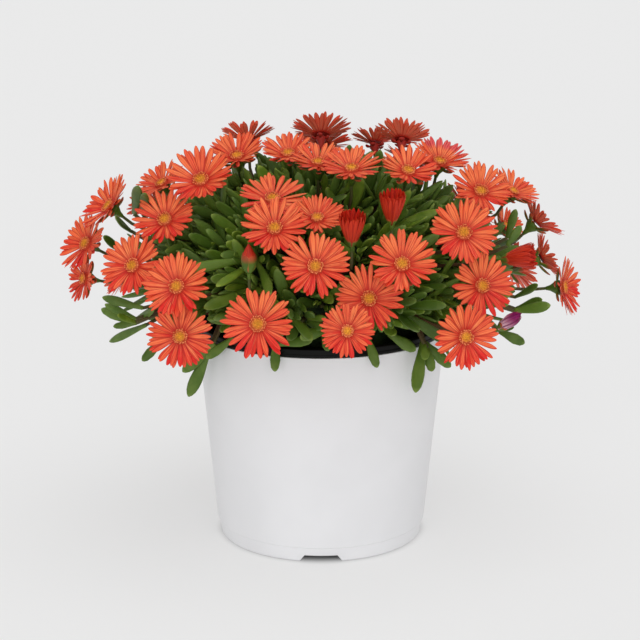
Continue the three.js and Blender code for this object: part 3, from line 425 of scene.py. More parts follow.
class Finish:
    """One material and short ways to make its nodes."""

    def __init__(self, name, roughness, specular=0.5, **sockets):
        self.material = bpy.data.materials.new(name)
        self.material.use_nodes = True
        self.tree = self.material.node_tree
        self.shader = self.tree.nodes["Principled BSDF"]
        self.shader.inputs["Roughness"].default_value = roughness
        self.shader.inputs["Specular IOR Level"].default_value = specular
        for socket, value in sockets.items():
            self.shader.inputs[socket.replace("_", " ")].default_value = value

    def link(self, value, socket):
        if hasattr(value, "is_output"):
            self.tree.links.new(value, socket)
        else:
            socket.default_value = value

    def node(self, kind, *values):
        """A node with values or links for its first sockets."""
        made = self.tree.nodes.new(kind)
        for value, socket in zip(values, made.inputs):
            self.link(value, socket)
        return made

    def value(self, name):
        """A number that the mesh carries at each point."""
        made = self.node("ShaderNodeAttribute")
        made.attribute_name = name
        return made.outputs["Fac"]

    def math(self, operation, *values):
        made = self.node("ShaderNodeMath", *values)
        made.operation = operation
        return made.outputs[0]

    def vector(self, *values):
        return self.node("ShaderNodeCombineXYZ", *values).outputs[0]

    def place(self):
        return self.node("ShaderNodeTexCoord").outputs["Object"]

    def length(self, vector):
        made = self.node("ShaderNodeVectorMath", vector)
        made.operation = "LENGTH"
        return made.outputs["Value"]

    def noise(self, scale, detail=2, where=None):
        made = self.node("ShaderNodeTexNoise", where or self.place())
        made.inputs["Scale"].default_value = scale
        made.inputs["Detail"].default_value = detail
        return made.outputs["Fac"]

    def cells(self, scale):
        made = self.node("ShaderNodeTexVoronoi", self.place())
        made.inputs["Scale"].default_value = scale
        return made.outputs["Distance"]

    def ramp(self, value, *stops):
        """Colours by value, with each stop as a place from 0 to 1 and a colour."""
        made = self.node("ShaderNodeValToRGB", value)
        band = made.color_ramp
        while len(band.elements) < len(stops):
            band.elements.new(0.5)
        for element, (where, colour) in zip(band.elements, stops):
            element.position = where
            element.color = colour
        return made.outputs["Color"]

    def span(self, value, low, high, to_low=0, to_high=1):
        """A number stretched from one range to another, and held inside it."""
        made = self.node("ShaderNodeMapRange", value, low, high, to_low, to_high)
        made.interpolation_type = "SMOOTHSTEP"
        return made.outputs["Result"]

    def blend(self, share, first, second, how="MIX"):
        made = self.node("ShaderNodeMix")
        made.data_type = "RGBA"
        made.blend_type = how
        self.link(share, made.inputs["Factor"])
        self.link(first, made.inputs[6])
        self.link(second, made.inputs[7])
        return made.outputs[2]

    def over(self, first, second, value, low, high, most=1):
        """The second colour over the first, where a value goes from low to high."""
        return self.blend(self.span(value, low, high, 0, most), first, second)

    def colour(self, colour):
        self.link(colour, self.shader.inputs["Base Color"])
        return self

    def bump(self, height, distance_mm, strength=1):
        node = self.tree.nodes.new("ShaderNodeBump")
        node.inputs["Distance"].default_value = distance_mm * MM
        node.inputs["Strength"].default_value = strength
        self.link(height, node.inputs["Height"])
        self.link(node.outputs["Normal"], self.shader.inputs["Normal"])
        return self


def petal_finish(name, ribs, root_to=0.25, **colours):
    """A satin petal with lengthwise veins. Its tone goes from deep to light,
    and a tone over 1 gives its outer half the flush. The ribs are the strength
    of the veins below, and the root's colour ends at a share of the length."""
    made = Finish(name, 0.5, 0.25, Subsurface_Weight=0.25, Subsurface_Radius=(1, 0.3, 0.2),
                  Subsurface_Scale=PETAL_GLOW * MM)
    look = {part: srgb(*colour) for part, colour in colours.items()}
    along, across = made.value("along"), made.value("across")
    tone = made.value("tone")
    veins = made.noise(1, 2, made.vector(
        made.math("MULTIPLY", across, 4.5), made.math("MULTIPLY", along, 1.4),
        made.math("MULTIPLY", tone, 91)))
    colour = made.blend(made.math("MINIMUM", tone, 1), look["deep"], look["light"])
    colour = made.over(look["root"], colour, along, 0, 0.42)
    flushed = made.math("MULTIPLY", made.span(tone, 1.1, 1.4), made.span(along, 0.42, 0.72, 0, 0.85))
    colour = made.blend(flushed, colour, srgb(*PINK_FLUSH))
    colour = made.over(colour, look["pale"], veins, 0.52, 0.68, 0.5)
    colour = made.over(colour, look["edge"], veins, 0.48, 0.34, 0.75)
    # Partly painted shade: each petal darkens to the edge colour towards its sides, for its deeper margin
    # and for the shade where neighbours overlap
    colour = made.over(colour, look["edge"], made.math("ABSOLUTE", across), 0.56, 0.98, 0.85)
    below = made.over(look["under"], look["edge"], veins, 0.42, 0.64, ribs)
    below = made.over(look["root"], below, along, 0.02, root_to)
    made.colour(made.blend(made.value("under"), colour, below))
    return made.bump(veins, 0.14, 0.7).material


def leaf_finish(name, base, middle, light, under):
    """A fleshy leaf with fine clear papillae, paler at its edge and below."""
    made = Finish(name, 0.46, 0.3)
    body = made.ramp(made.value("along"), (0, base), (0.22, middle), (0.9, middle), (1, light))
    body = made.over(body, light, made.noise(90, 3), 0.4, 0.66, 0.4)
    body = made.over(body, light, made.math("ABSOLUTE", made.value("across")), 0.78, 1, 0.35)
    shade = made.ramp(made.value("tone"), (0, (0.42, 0.46, 0.4, 1)), (0.5, (0.9, 0.9, 0.82, 1)),
                      (1, (1.5, 1.3, 0.7, 1)))
    body = made.blend(1.0, body, shade, "MULTIPLY")
    made.colour(made.blend(made.math("MULTIPLY", made.value("under"), 0.6), body, under))
    grain = made.math("ADD", made.math("MULTIPLY", made.cells(1500), 0.6), made.noise(420, 2))
    return made.bump(grain, 0.22, 0.55).material


def stem_finish(name):
    """Stems go from green at the flower to brownish pink at the root."""
    made = Finish(name, 0.55, 0.25)
    colour = made.ramp(made.value("along"), (0, srgb(78, 96, 42)), (0.35, srgb(84, 80, 44)),
                       (0.75, srgb(106, 62, 48)), (1, srgb(80, 52, 36)))
    made.colour(made.over(colour, srgb(70, 66, 38), made.noise(260, 3), 0.4, 0.7, 0.5))
    return made.bump(made.noise(700, 2), 0.15, 0.6).material


def calyx_finish(name):
    """The green receptacle and sepals, with a pink flush at their tips. A tone
    over 1 makes them red."""
    made = Finish(name, 0.5, 0.25)
    tone = made.value("tone")
    colour = made.ramp(made.value("along"), (0, srgb(96, 122, 40)), (0.6, srgb(84, 112, 36)),
                       (0.82, srgb(168, 84, 44)), (1, srgb(196, 70, 40)))
    shade = made.ramp(tone, (0, (0.72, 0.78, 0.8, 1)), (1, (1.2, 1.15, 1, 1)))
    colour = made.blend(1.0, colour, shade, "MULTIPLY")
    rim = made.math("ABSOLUTE", made.value("across"))
    colour = made.over(colour, srgb(204, 98, 56), rim, 0.74, 1, 0.75)
    made.colour(made.over(colour, srgb(176, 44, 34), tone, 1.1, 1.4))
    return made.bump(made.cells(1300), 0.25, 0.5).material


def disc_finish(name):
    made = Finish(name, 0.6, 0.3)
    made.colour(made.ramp(made.value("along"), (0, srgb(232, 160, 44)), (0.42, srgb(226, 136, 52)),
                          (0.62, srgb(210, 84, 42)), (1, srgb(176, 36, 24))))
    return made.bump(made.cells(1700), 0.4, 0.7).material


def anther_finish(name):
    """Pollen grains on the anthers, golden inside and peach at the ring."""
    made = Finish(name, 0.62, 0.25)
    colour = made.ramp(made.value("along"), (0, srgb(246, 180, 52)), (0.6, srgb(238, 158, 58)),
                       (0.8, srgb(236, 142, 80)), (1, srgb(240, 146, 96)))
    shade = made.ramp(made.value("tone"), (0, (0.78, 0.62, 0.5, 1)), (1, (1.15, 1.12, 1.05, 1)))
    made.colour(made.blend(1.0, colour, shade, "MULTIPLY"))
    return made.bump(made.noise(2600, 2), 0.2, 0.8).material


# Painted shade: the dark green of the plant's middle, seen in the gaps between the leaves
def heart_painted_shade_finish(name):
    made = Finish(name, 0.8, 0.2)
    made.colour(made.ramp(made.noise(70, 4), (0.3, srgb(22, 32, 16)), (0.55, srgb(38, 56, 24)),
                          (0.75, srgb(58, 78, 34))))
    return made.bump(made.noise(160, 4), 2.5, 0.9).material


def plastic_finish(name, colour, darker, roughness, grain_mm, specular=0.5):
    """Moulded plastic: a faint cloudiness, and a very fine grain."""
    made = Finish(name, roughness, specular)
    made.colour(made.over(colour, darker, made.noise(14, 3), 0.35, 0.7))
    return made.bump(made.noise(900, 3), grain_mm, 0.5).material


def soil_finish(name):
    made = Finish(name, 0.92, 0.2)
    made.colour(made.ramp(made.noise(240, 4), (0.3, srgb(14, 11, 8)), (0.55, srgb(40, 30, 22)),
                          (0.78, srgb(74, 56, 40))))
    return made.bump(made.noise(520, 4), 1.2, 1).material


# Meshes


class Shape:
    """Points and faces of one piece, with the values that its materials read."""

    VALUES = ("along", "across", "tone", "under")

    def __init__(self):
        self.points = []
        self.quads = []
        self.triangles = []
        self.quad_slots = []
        self.triangle_slots = []
        self.values = {name: [] for name in self.VALUES}
        self.count = 0

    def add(self, points, quads, triangles, slot=0, **values):
        points = np.asarray(points, float)
        self.points.append(points)
        self.quads.append(np.asarray(quads, int).reshape(-1, 4) + self.count)
        self.triangles.append(np.asarray(triangles, int).reshape(-1, 3) + self.count)
        self.quad_slots.append(np.full(len(self.quads[-1]), slot))
        self.triangle_slots.append(np.full(len(self.triangles[-1]), slot))
        for name in self.VALUES:
            self.values[name].append(np.broadcast_to(values.get(name, 0.0), len(points)))
        self.count += len(points)


def finish_piece(made, materials, nodes):
    for one in materials:
        made.data.materials.append(one)
    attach(made, "root")
    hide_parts(*nodes)


def build(name, shape, materials, nodes, crease=None):
    """One smooth-shaded piece from a gathered shape, with creases at edges
    sharper than an angle."""
    points = np.concatenate(shape.points) * MM
    quads = np.concatenate(shape.quads)
    triangles = np.concatenate(shape.triangles)
    sides = np.concatenate([np.full(len(quads), 4), np.full(len(triangles), 3)])
    slots = np.concatenate(shape.quad_slots + shape.triangle_slots)
    corners = np.concatenate([quads.ravel(), triangles.ravel()])
    mesh = bpy.data.meshes.new(name)
    mesh.vertices.add(len(points))
    mesh.vertices.foreach_set("co", points.astype(np.float32).ravel())
    mesh.loops.add(len(corners))
    mesh.loops.foreach_set("vertex_index", corners.astype(np.int32))
    mesh.polygons.add(len(sides))
    starts = np.concatenate([[0], np.cumsum(sides)[:-1]])
    mesh.polygons.foreach_set("loop_start", starts.astype(np.int32))
    mesh.polygons.foreach_set("material_index", slots.astype(np.int32))
    mesh.polygons.foreach_set("use_smooth", np.ones(len(sides), bool))
    for value in Shape.VALUES:
        layer = mesh.attributes.new(value, "FLOAT", "POINT")
        layer.data.foreach_set("value", np.concatenate(shape.values[value]).astype(np.float32))
    mesh.update()
    mesh.validate()
    if crease:
        mesh.set_sharp_from_angle(angle=crease)
    finish_piece(placed(name, mesh), materials, nodes)


def ring_faces(rings, sides):
    """Faces of a skin over rings of points, with flat ends."""
    ring, side = np.meshgrid(np.arange(rings - 1), np.arange(sides), indexing="ij")
    here = (ring * sides + side).ravel()
    next_one = (ring * sides + (side + 1) % sides).ravel()
    quads = np.stack([here, next_one, next_one + sides, here + sides], axis=1)
    fan = np.arange(1, sides - 1)
    last = (rings - 1) * sides
    first_end = np.stack([np.zeros_like(fan), fan + 1, fan], axis=1)
    last_end = np.stack([np.full_like(fan, last), last + fan, last + fan + 1], axis=1)
    return quads, np.concatenate([first_end, last_end])


# Outlines give the share of the length, of the width and of the thickness.
# Sections go once round a blade: across, and up over its middle plane.
PETAL_OUTLINE = np.array([
    (0, 0.5, 1), (0.14, 0.6, 1), (0.3, 0.74, 1), (0.46, 0.88, 1), (0.6, 0.98, 0.95), (0.71, 1, 0.9),
    (0.8, 0.92, 0.8), (0.88, 0.75, 0.7), (0.94, 0.54, 0.5), (0.985, 0.32, 0.4), (1, 0.1, 0.3)])
PETAL_SECTION = np.array([
    (-1, -0.03), (-0.5, 0.08), (0, 0), (0.5, 0.08), (1, -0.03), (0.5, -0.14), (0, -0.24), (-0.5, -0.14)])
LEAF_OUTLINE = np.array([
    (0, 0.46, 0.6), (0.1, 0.5, 0.75), (0.22, 0.6, 0.9), (0.36, 0.76, 1), (0.5, 0.91, 1),
    (0.64, 1, 0.95), (0.77, 0.95, 0.85), (0.88, 0.76, 0.68), (0.96, 0.44, 0.42), (1, 0.12, 0.14)])
LEAF_SECTION = np.array([
    (-1, 0), (-0.66, 0.26), (0, 0.3), (0.66, 0.26), (1, 0), (0.66, -0.58), (0, -0.85), (-0.66, -0.58)])
TOP_POINTS = 5
SHORT_LEAF = 24
SHORT_LEAF_OUTLINE = LEAF_OUTLINE[[0, 2, 4, 5, 7, 8, 9]]


def add_blade(shape, points, share, section, slot, tone):
    """A closed skin over the rings of a blade, its last points underneath."""
    rings, sides = len(share), len(section)
    under = np.tile((np.arange(sides) >= TOP_POINTS).astype(float), rings)
    shape.add(points.reshape(-1, 3), *ring_faces(rings, sides), slot=slot,
              along=np.repeat(share, sides), across=np.tile(section[:, 0], rings), tone=tone,
              under=under)


def blade(shape, root, along, up, length, width, depth, bend, outline, section, slot, tone,
          twist=0):
    """A petal, leaf or sepal on a bent middle line."""
    along = unit(along)
    side = unit(np.cross(along, up))
    up = np.cross(side, along)
    share, wide, deep = outline.T
    turn = twist * share
    middle = root + np.outer(length * share, along) + np.outer(length * (bend * share**2), up)
    across = np.cos(turn)[:, None] * side + np.sin(turn)[:, None] * up
    rise = np.cos(turn)[:, None] * up - np.sin(turn)[:, None] * side
    half = width / 2 * wide
    points = (middle[:, None]
              + (half[:, None] * section[:, 0])[..., None] * across[:, None]
              + ((depth * deep)[:, None] * section[:, 1])[..., None] * rise[:, None])
    add_blade(shape, points, share, section, slot, tone)


def furled(shape, bloom, profile, count, tip, width, inward, lean, slot, random):
    """Petals or sepals wrapped round a flower's axis, from the profile's foot
    up to their tips."""
    axes = frame_of(bloom["face"])
    share, wide, deep = LEAF_OUTLINE.T
    side, thick = PETAL_SECTION.T
    start = random() * CIRCLE
    for i in range(count):
        heights = mix(profile[0][0], tip * mix(*FURLED_TIPS, random()), share)
        radii = np.maximum(np.interp(heights, *zip(*profile)) - inward, FURLED_LEAST_RADIUS)
        middle = start + (i + stray(FURLED_STRAY, random)) * CIRCLE / count + lean * share
        turn = middle[:, None] - np.outer(width / 2 * wide / radii, side)
        away = radii[:, None] - np.outer(deep, thick) * width / 2
        points = (bloom["place"] + heights[:, None, None] * bloom["face"]
                  + (away * np.cos(turn))[..., None] * axes[0]
                  + (away * np.sin(turn))[..., None] * axes[1])
        add_blade(shape, points, share, PETAL_SECTION, slot, random())


def tube(shape, line, radii, sides=8, slot=0, tone=0.5, span=(0, 1)):
    """A round stem along a line of points."""
    radii = np.interp(np.linspace(0, 1, len(line)), np.linspace(0, 1, len(radii)), radii)
    steps = np.gradient(line, axis=0)
    steps /= np.linalg.norm(steps, axis=1)[:, None]
    helper = unit(np.cross(steps[0], OFF_AXIS))
    turns = turns_round(sides)
    rings = []
    for middle, step, radius in zip(line, steps, radii):
        helper = unit(helper - step * helper.dot(step))
        rings.append(ring_of(middle, (helper, np.cross(step, helper)), radius, turns))
    shape.add(np.concatenate(rings), *ring_faces(len(line), sides), slot=slot,
              along=np.repeat(np.linspace(*span, len(line)), sides), tone=tone)


def soften(line):
    """Cuts the corners of a line twice, and keeps its ends."""
    line = np.asarray(line, float)
    for _ in range(2):
        first = line[:-1] * 0.75 + line[1:] * 0.25
        second = line[:-1] * 0.25 + line[1:] * 0.75
        inner = np.stack([first, second], axis=1).reshape(-1, 3)
        line = np.concatenate([line[:1], inner, line[-1:]])
    return line


# Blooms, read from their solids


def read_bloom(name):
    """Place, face direction and petals of a bloom's solid. Its lowest point
    joins the most faces, and its points are even round its axis."""
    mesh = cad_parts[name].data
    places = np.empty(len(mesh.vertices) * 3, np.float32)
    mesh.vertices.foreach_get("co", places)
    corners = np.empty(len(mesh.loops), np.int32)
    mesh.loops.foreach_get("vertex_index", corners)
    points, faces = np.unique(places.reshape(-1, 3)[corners], axis=0, return_counts=True)
    points = points.astype(float) / MM
    below = points[faces.argmax()]
    face = unit(points.mean(axis=0) - below)
    height = (points - below) @ face - HUB_DEPTH
    away = np.linalg.norm(points - below - np.outer(height + HUB_DEPTH, face), axis=1)
    hub = away[(abs(height) < HUB_LEVEL) & (away > 1)].min()
    petals = round((len(points) - 1) / POINTS_A_PETAL)
    tip = height.argmax()
    reach = away[tip] / math.hypot(1, SOLID_WIDTH_SHARE * math.pi / petals) - hub
    cup = math.degrees(math.atan2(height[tip], reach)) - LAYER_ANGLE
    length = math.hypot(reach, height[tip])
    return {"name": name, "place": below + face * HUB_DEPTH, "face": face, "hub": hub, "cup": cup,
            "length": length, "radius": hub + length}


bloom_names = sorted(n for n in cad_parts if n.startswith("bloom_"))
blooms = [read_bloom(name) for name in [*bloom_names, *FURLED_FLOWERS]]


def bloom_table():
    """The blooms' sizes as arrays, for measuring many points at once."""
    low = np.radians([b["cup"] - LAYER_ANGLE for b in blooms])
    high = np.radians([b["cup"] + LAYER_ANGLE for b in blooms])
    hub = np.array([b["hub"] for b in blooms])
    length = np.array([b["length"] for b in blooms])
    return {
        "place": np.array([b["place"] for b in blooms]),
        "face": np.array([b["face"] for b in blooms]),
        "hub": hub,
        "radius": hub + length,
        "slope": np.tan(np.radians([b["cup"] for b in blooms])),
        "low": (hub + length * np.cos(low), length * np.sin(low)),
        "high": (hub + length * np.cos(high), length * np.sin(high)),
    }


table = bloom_table()


def segment_gap(away, height, start, end):
    across, climb = end[0] - start[0], end[1] - start[1]
    share = ((away - start[0]) * across + (height - start[1]) * climb) / (across**2 + climb**2)
    share = np.clip(share, 0, 1)
    return np.hypot(away - start[0] - share * across, height - start[1] - share * climb)


def bloom_gaps(points):
    """For each point and bloom: the gap to its petals, its distance from the
    bloom's axis, how far it is over the petals, and its height over the hub."""
    offset = points[:, None] - table["place"]
    height = (offset * table["face"]).sum(axis=2)
    away = np.sqrt(np.maximum((offset**2).sum(axis=2) - height**2, 0))
    hub = table["hub"]
    zero = np.zeros_like(hub)
    gap = np.minimum(segment_gap(away, height, (zero, zero), (hub, zero)),
                     segment_gap(away, height, (hub, zero), table["low"]))
    gap = np.minimum(gap, segment_gap(away, height, (hub, zero), table["high"]))
    over = height - np.maximum(away - hub, 0) * table["slope"]
    return gap, away, over, height


def stalk_path(index):
    """The stalk's line, by the rule of the solids: straight from the calyx,
    then to a root in the heart, on the first way that is clear of blooms."""
    bloom = blooms[index]
    calyx = min(CALYX_RADIUS, bloom["hub"] + 1)
    top = bloom["place"] - bloom["face"] * (HUB_DEPTH + FIT_GAP)
    neck = top - bloom["face"] * CALYX_LENGTH
    first_steps, last_steps = STALK_STEPS
    wide = np.full(first_steps + last_steps + 1, SOLID_STALK_RADIUS)
    wide[:CALYX_STEPS - 1] = [calyx * (1 - i / CALYX_STEPS) for i in range(CALYX_STEPS - 1)]
    near = np.linalg.norm(table["place"] - top, axis=1) < STALK_SIGHT
    near[index] = False
    best = None
    for straight in STALK_STRAIGHT:
        for turn in STALK_TURNS:
            for drop in STALK_DROPS:
                bend = neck - bloom["face"] * straight
                root = axis_turn(np.array([0, 0, 1.0]), turn) @ (bend - HEART_MIDDLE)
                root[2] -= drop
                root = root / np.linalg.norm(root / STALK_ROOTS) + HEART_MIDDLE
                line = [mix(top, bend, i / first_steps) for i in range(first_steps)]
                line += [mix(bend, root, i / last_steps) for i in range(last_steps + 1)]
                gaps = bloom_gaps(np.array(line))[0][:, near] - wide[:, None]
                gap = gaps.min() if gaps.size else math.inf
                if best is None or gap > best[0]:
                    best = (gap, top, neck, bend, root, calyx)
                if gap > STALK_MARGIN:
                    return best
    return best


def spine_of_stalk(path):
    points = []
    for start, end in ((path[2], path[3]), (path[3], path[4])):
        count = math.ceil(np.linalg.norm(end - start) / LEAF_SPACING)
        points += [mix(start, end, i / count) for i in range(count)]
    return points


# Leaves


def leaf_point(leaf, share, across=0):
    """A point of a leaf, half its depth below its upper side."""
    along = unit(leaf["along"])
    side = unit(np.cross(along, leaf["up"]))
    up = np.cross(side, along)
    return (leaf["root"] + along * leaf["length"] * share
            + up * (leaf["bend"] * leaf["length"] * share**2 - LEAF_HALF_DEPTH) + side * across)


def leaf_spine(leaf):
    return [leaf_point(leaf, share) for share in LEAF_SPINE]


class Taken:
    """Places that stalks and leaves have taken."""

    def __init__(self, points):
        self.points = np.array(points)

    def add(self, points):
        self.points = np.concatenate([self.points, points])

    def clear(self, points, spacing):
        gaps = np.linalg.norm(self.points[:, None] - np.array(points), axis=2)
        return gaps.min() > spacing


def before_rim(points):
    """Which points the viewer sees in front of the rim's middle part."""
    offset = points - EYE
    depth = offset @ FORWARD
    across = offset[:, 0] / depth * FOCAL
    height = PICTURE_SIZE / 2 - offset @ UPWARD / depth * FOCAL
    low = height > RIM_CLEAR_HEIGHT - RIM_CLEAR_CURVE * across**2
    return (points[:, 1] < 0) & (abs(across) < RIM_CLEAR_WIDTH) & low


def leaf_free(leaf, taken, spacing):
    """A leaf keeps clear of the rim, of blooms and their faces, and of places
    that other leaves and stalks have taken."""
    points = np.array([leaf_point(leaf, share, across * leaf["width"])
                       for share in LEAF_SHARES for across in LEAF_SIDES])
    away = np.hypot(points[:, 0], points[:, 1])
    low = points[:, 2] < POT_HEIGHT + LIP_HEIGHT + RIM_ROOM["above"]
    in_pot = low & (away < POT_TOP_RADIUS + RIM_ROOM["beside"])
    dome = np.linalg.norm((points - DOME_MIDDLE) / DOME_SIZE, axis=1)
    if in_pot.any() or (points[:, 2] < LEAF_LOWEST).any() or (dome > LEAF_DOME_SHARE).any():
        return False
    if before_rim(points).any():
        return False
    gap, from_axis, over, height = bloom_gaps(points)
    in_front = ((from_axis < table["radius"]) & (over > -FACE_ROOM["behind"])
                & (height < FACE_ROOM["before"]))
    if (gap < LEAF_MARGIN).any() or in_front.any():
        return False
    return taken.clear(leaf_spine(leaf), spacing)


def make_tuft(foot, lift, lengths, random):
    """A tuft stands on the heart. Its leaves are by turns nearly upright and
    spreading."""
    out = unit(foot - HEART_MIDDLE)
    out[2] += mix(*TUFT_LEAN, random())
    out = unit(out)
    lift = mix(*lift, random())
    leaves = []
    for k in range(TUFT_LEAVES):
        rise = mix(*(UPRIGHT_RISE if k % 2 else SPREADING_RISE), random())
        leaves.append({"rise": math.radians(rise), "length": mix(*lengths, random()),
                       "width": mix(*LEAF_WIDTH, random()), "bend": mix(*LEAF_BEND, random())})
    return {"place": foot + out * lift, "out": out, "lift": lift, "spin": mix(0, math.pi, random()),
            "leaves": leaves}


def tuft_axes(tuft):
    """The tuft's own X, Y and Z directions after its spin."""
    out = tuft["out"]
    turn = np.cross([0, 0, 1], out)
    angle = math.acos(np.clip(out[2], -1, 1))
    turned = axis_turn(turn, angle) if np.linalg.norm(turn) > 1e-9 else np.eye(3)
    return turned @ axis_turn(np.array([0, 0, 1.0]), tuft["spin"])


def tuft_leaf(tuft, leaf, k):
    across = spoke(np.eye(3), k * CIRCLE / TUFT_LEAVES)
    along, up = raised(across, np.array([0, 0, 1.0]), leaf["rise"])
    axes = tuft_axes(tuft)
    return {**leaf, "root": axes @ (across * TUFT_HUB) + tuft["place"], "along": axes @ along,
            "up": axes @ up}


def grow_tuft(tuft, taken, spacing):
    """The tuft's leaves that find room, cut shorter where they need to be."""
    grown = []
    for k, leaf in enumerate(tuft["leaves"]):
        for share in LEAF_TRIMS:
            tried = tuft_leaf(tuft, {**leaf, "length": leaf["length"] * share}, k)
            if leaf_free(tried, taken, spacing):
                grown.append(tried)
                break
    return grown


def plant_tuft(tufts, tuft, taken, spacing, fewest):
    """Adds a tuft to the others if it is clear of blooms and has leaves enough."""
    gap = bloom_gaps(tuft["place"][None])[0].min()
    grown = grow_tuft(tuft, taken, spacing)
    if len(grown) < fewest or gap < TUFT_MARGIN:
        return
    for leaf in grown:
        taken.add(leaf_spine(leaf))
    tufts.append({**tuft, "leaves": grown})


def main_tufts(taken):
    random = random_source(5)
    tufts = []
    for row, (radius, height, count) in enumerate(TUFT_ROWS):
        for i in range(count):
            turn = (i + 0.5 * (row % 2) + stray(TUFT_TURN, random)) * CIRCLE / count
            foot = np.array([radius * math.cos(turn), HEART_DEPTH_SHARE * radius * math.sin(turn), height])
            tuft = make_tuft(foot, TUFT_LIFT, LEAF_LENGTH, random)
            plant_tuft(tufts, tuft, taken, LEAF_SPACING, TUFT_FEWEST)
    return tufts


def filler_tufts(taken):
    """Small tufts spread evenly by the golden angle over the heart."""
    random = random_source(21)
    tufts = []
    for i in range(FILLERS):
        height = mix(*FILLER_HEIGHTS, (i + 0.5) / FILLERS)
        turn = i * math.pi * GOLDEN
        level = math.sqrt(1 - height**2)
        out = np.array([math.cos(turn) * level, math.sin(turn) * level, height])
        tuft = make_tuft(HEART_MIDDLE + out * FILLER_FEET, FILLER_LIFT, FILLER_LENGTH, random)
        plant_tuft(tufts, tuft, taken, FILLER_SPACING, 1)
    return tufts


def sight_line(seen):
    middle = PICTURE_SIZE / 2
    aside = np.array([1, 0, 0]) * (seen[0] - middle) / FOCAL
    return unit(FORWARD + aside + UPWARD * (middle - seen[1]) / FOCAL)


def on_cylinder(seen, away):
    """Where a sight line meets an upright cylinder round the pot's axis."""
    line = sight_line(seen)
    a = line[0] ** 2 + line[1] ** 2
    b = EYE[0] * line[0] + EYE[1] * line[1]
    c = EYE[0] ** 2 + EYE[1] ** 2 - away**2
    return EYE + line * (-b - math.sqrt(max(b * b - a * c, 0))) / a


def put_leaf(shape, leaf, tone, random):
    width = leaf["width"] * LEAF_DRAWN_WIDTH
    outline = SHORT_LEAF_OUTLINE if leaf["length"] < SHORT_LEAF else LEAF_OUTLINE
    blade(shape, leaf["root"], leaf["along"], leaf["up"], leaf["length"], width,
          width * LEAF_DEPTH_SHARE, leaf["bend"], outline, LEAF_SECTION, 0, tone,
          stray(LEAF_TWIST, random))


def put_young_leaves(tuft, shape, taken, random):
    """Shorter leaves between the main ones, and a pair in the middle."""
    for k in range(YOUNG_LEAVES):
        leaf = {"rise": math.radians(mix(*YOUNG_RISE, random())), "length": mix(*YOUNG_LENGTH, random()),
                "width": mix(*YOUNG_WIDTH, random()), "bend": mix(*YOUNG_BEND, random())}
        leaf = tuft_leaf(tuft, leaf, k + mix(*YOUNG_PLACE, random()))
        if leaf_free(leaf, taken, YOUNG_SPACING):
            put_leaf(shape, leaf, mix(*YOUNG_TONE, random()), random)
            taken.add(leaf_spine(leaf))
    for k in range(2):
        lean = axis_turn(tuft["out"], random() * CIRCLE + k * math.pi)
        aside = lean @ frame_of(tuft["out"])[0]
        small = {"root": tuft["place"] + aside, "along": tuft["out"] + aside * PAIR["lean"],
                 "up": -aside, "length": mix(*PAIR["length"], random()), "width": PAIR["width"],
                 "bend": PAIR["bend"]}
        put_leaf(shape, small, mix(*PAIR["tone"], random()), random)


def leafy_tufts(tufts, shape, young_shape, stems, taken, random):
    for tuft in tufts:
        low = tuft["place"] - tuft["out"] * (tuft["lift"] + TUFT_ROOT)
        line = soften([low, tuft["place"], tuft["place"] + tuft["out"] * TUFT_TOP])
        tube(stems, line, TUFT_STEM, span=(1, 0.3))
        least = TUFT_TONES[0] if random() > LIGHTER_TUFTS else TUFT_TONES[1]
        for leaf in tuft["leaves"]:
            put_leaf(shape, leaf, min(1, least + TONE_SPREAD * random()), random)
        put_young_leaves(tuft, young_shape, taken, random)


def far_shoots(shape, stems, taken):
    """Hanging shoots with a long leaf, and a shorter one on each side of it."""
    random = random_source(9)
    small = FAR_SIDE_LEAF
    for turn, height in FAR_SHOOTS:
        out = spoke(np.eye(3), math.radians(turn))
        tip = out * FAR_TIP_AWAY + [0, 0, height]
        root = out * FAR_ROOT[0] + [0, 0, FAR_ROOT[1]]
        node = mix(root, tip, FAR_NODE["share"]) + out * FAR_NODE["out"]
        bend = mix(root, node, FAR_NODE["bend"]) + out
        tube(stems, soften([root, bend, node]), FAR_NODE["radii"], span=(1, 0.4))
        main = {"root": node, "along": tip - node, "up": out, "width": FAR_LEAF["width"],
                "length": np.linalg.norm(tip - node), "bend": HANGING_BEND}
        put_leaf(shape, main, mix(*FAR_LEAF["tone"], random()), random)
        taken.add(leaf_spine(main))
        for side in (-np.cross(out, [0, 0, 1]), np.cross(out, [0, 0, 1])):
            along = side + out * mix(*small["out"], random()) + [0, 0, mix(*small["rise"], random())]
            for length in small["lengths"]:
                leaf = {"root": node + side * small["aside"], "along": along,
                        "up": out + [0, 0, small["face"]], "length": length,
                        "width": small["width"], "bend": small["bend"]}
                if leaf_free(leaf, taken, FILLER_SPACING):
                    put_leaf(shape, leaf, mix(*small["tone"], random()), random)
                    taken.add(leaf_spine(leaf))
                    break


def seen_leaves(shape, stems, taken):
    """Leaves placed one by one, their flat side to the viewer."""
    random = random_source(13)
    stem_away, stem_height = SEEN_STEM["root"]
    for tip, tip_away, root, root_away, width, tone in SEEN_LEAVES:
        start, end = on_cylinder(root, root_away), on_cylinder(tip, tip_away)
        foot = unit(start * [1, 1, 0]) * stem_away + [0, 0, stem_height]
        bend = mix(foot, start, SEEN_STEM["bend"]) + [0, 0, SEEN_STEM["lift"]]
        tube(stems, soften([foot, bend, start]), SEEN_STEM["radii"], span=(1, 0.3))
        wide = width * np.linalg.norm(start - EYE) / FOCAL / LEAF_DRAWN_WIDTH
        leaf = {"root": start, "along": end - start, "up": unit(EYE - start) + [0, 0, SEEN_LEAF_FACE],
                "length": np.linalg.norm(end - start), "width": wide, "bend": HANGING_BEND}
        put_leaf(shape, leaf, tone, random)
        taken.add(leaf_spine(leaf))


# Flowers


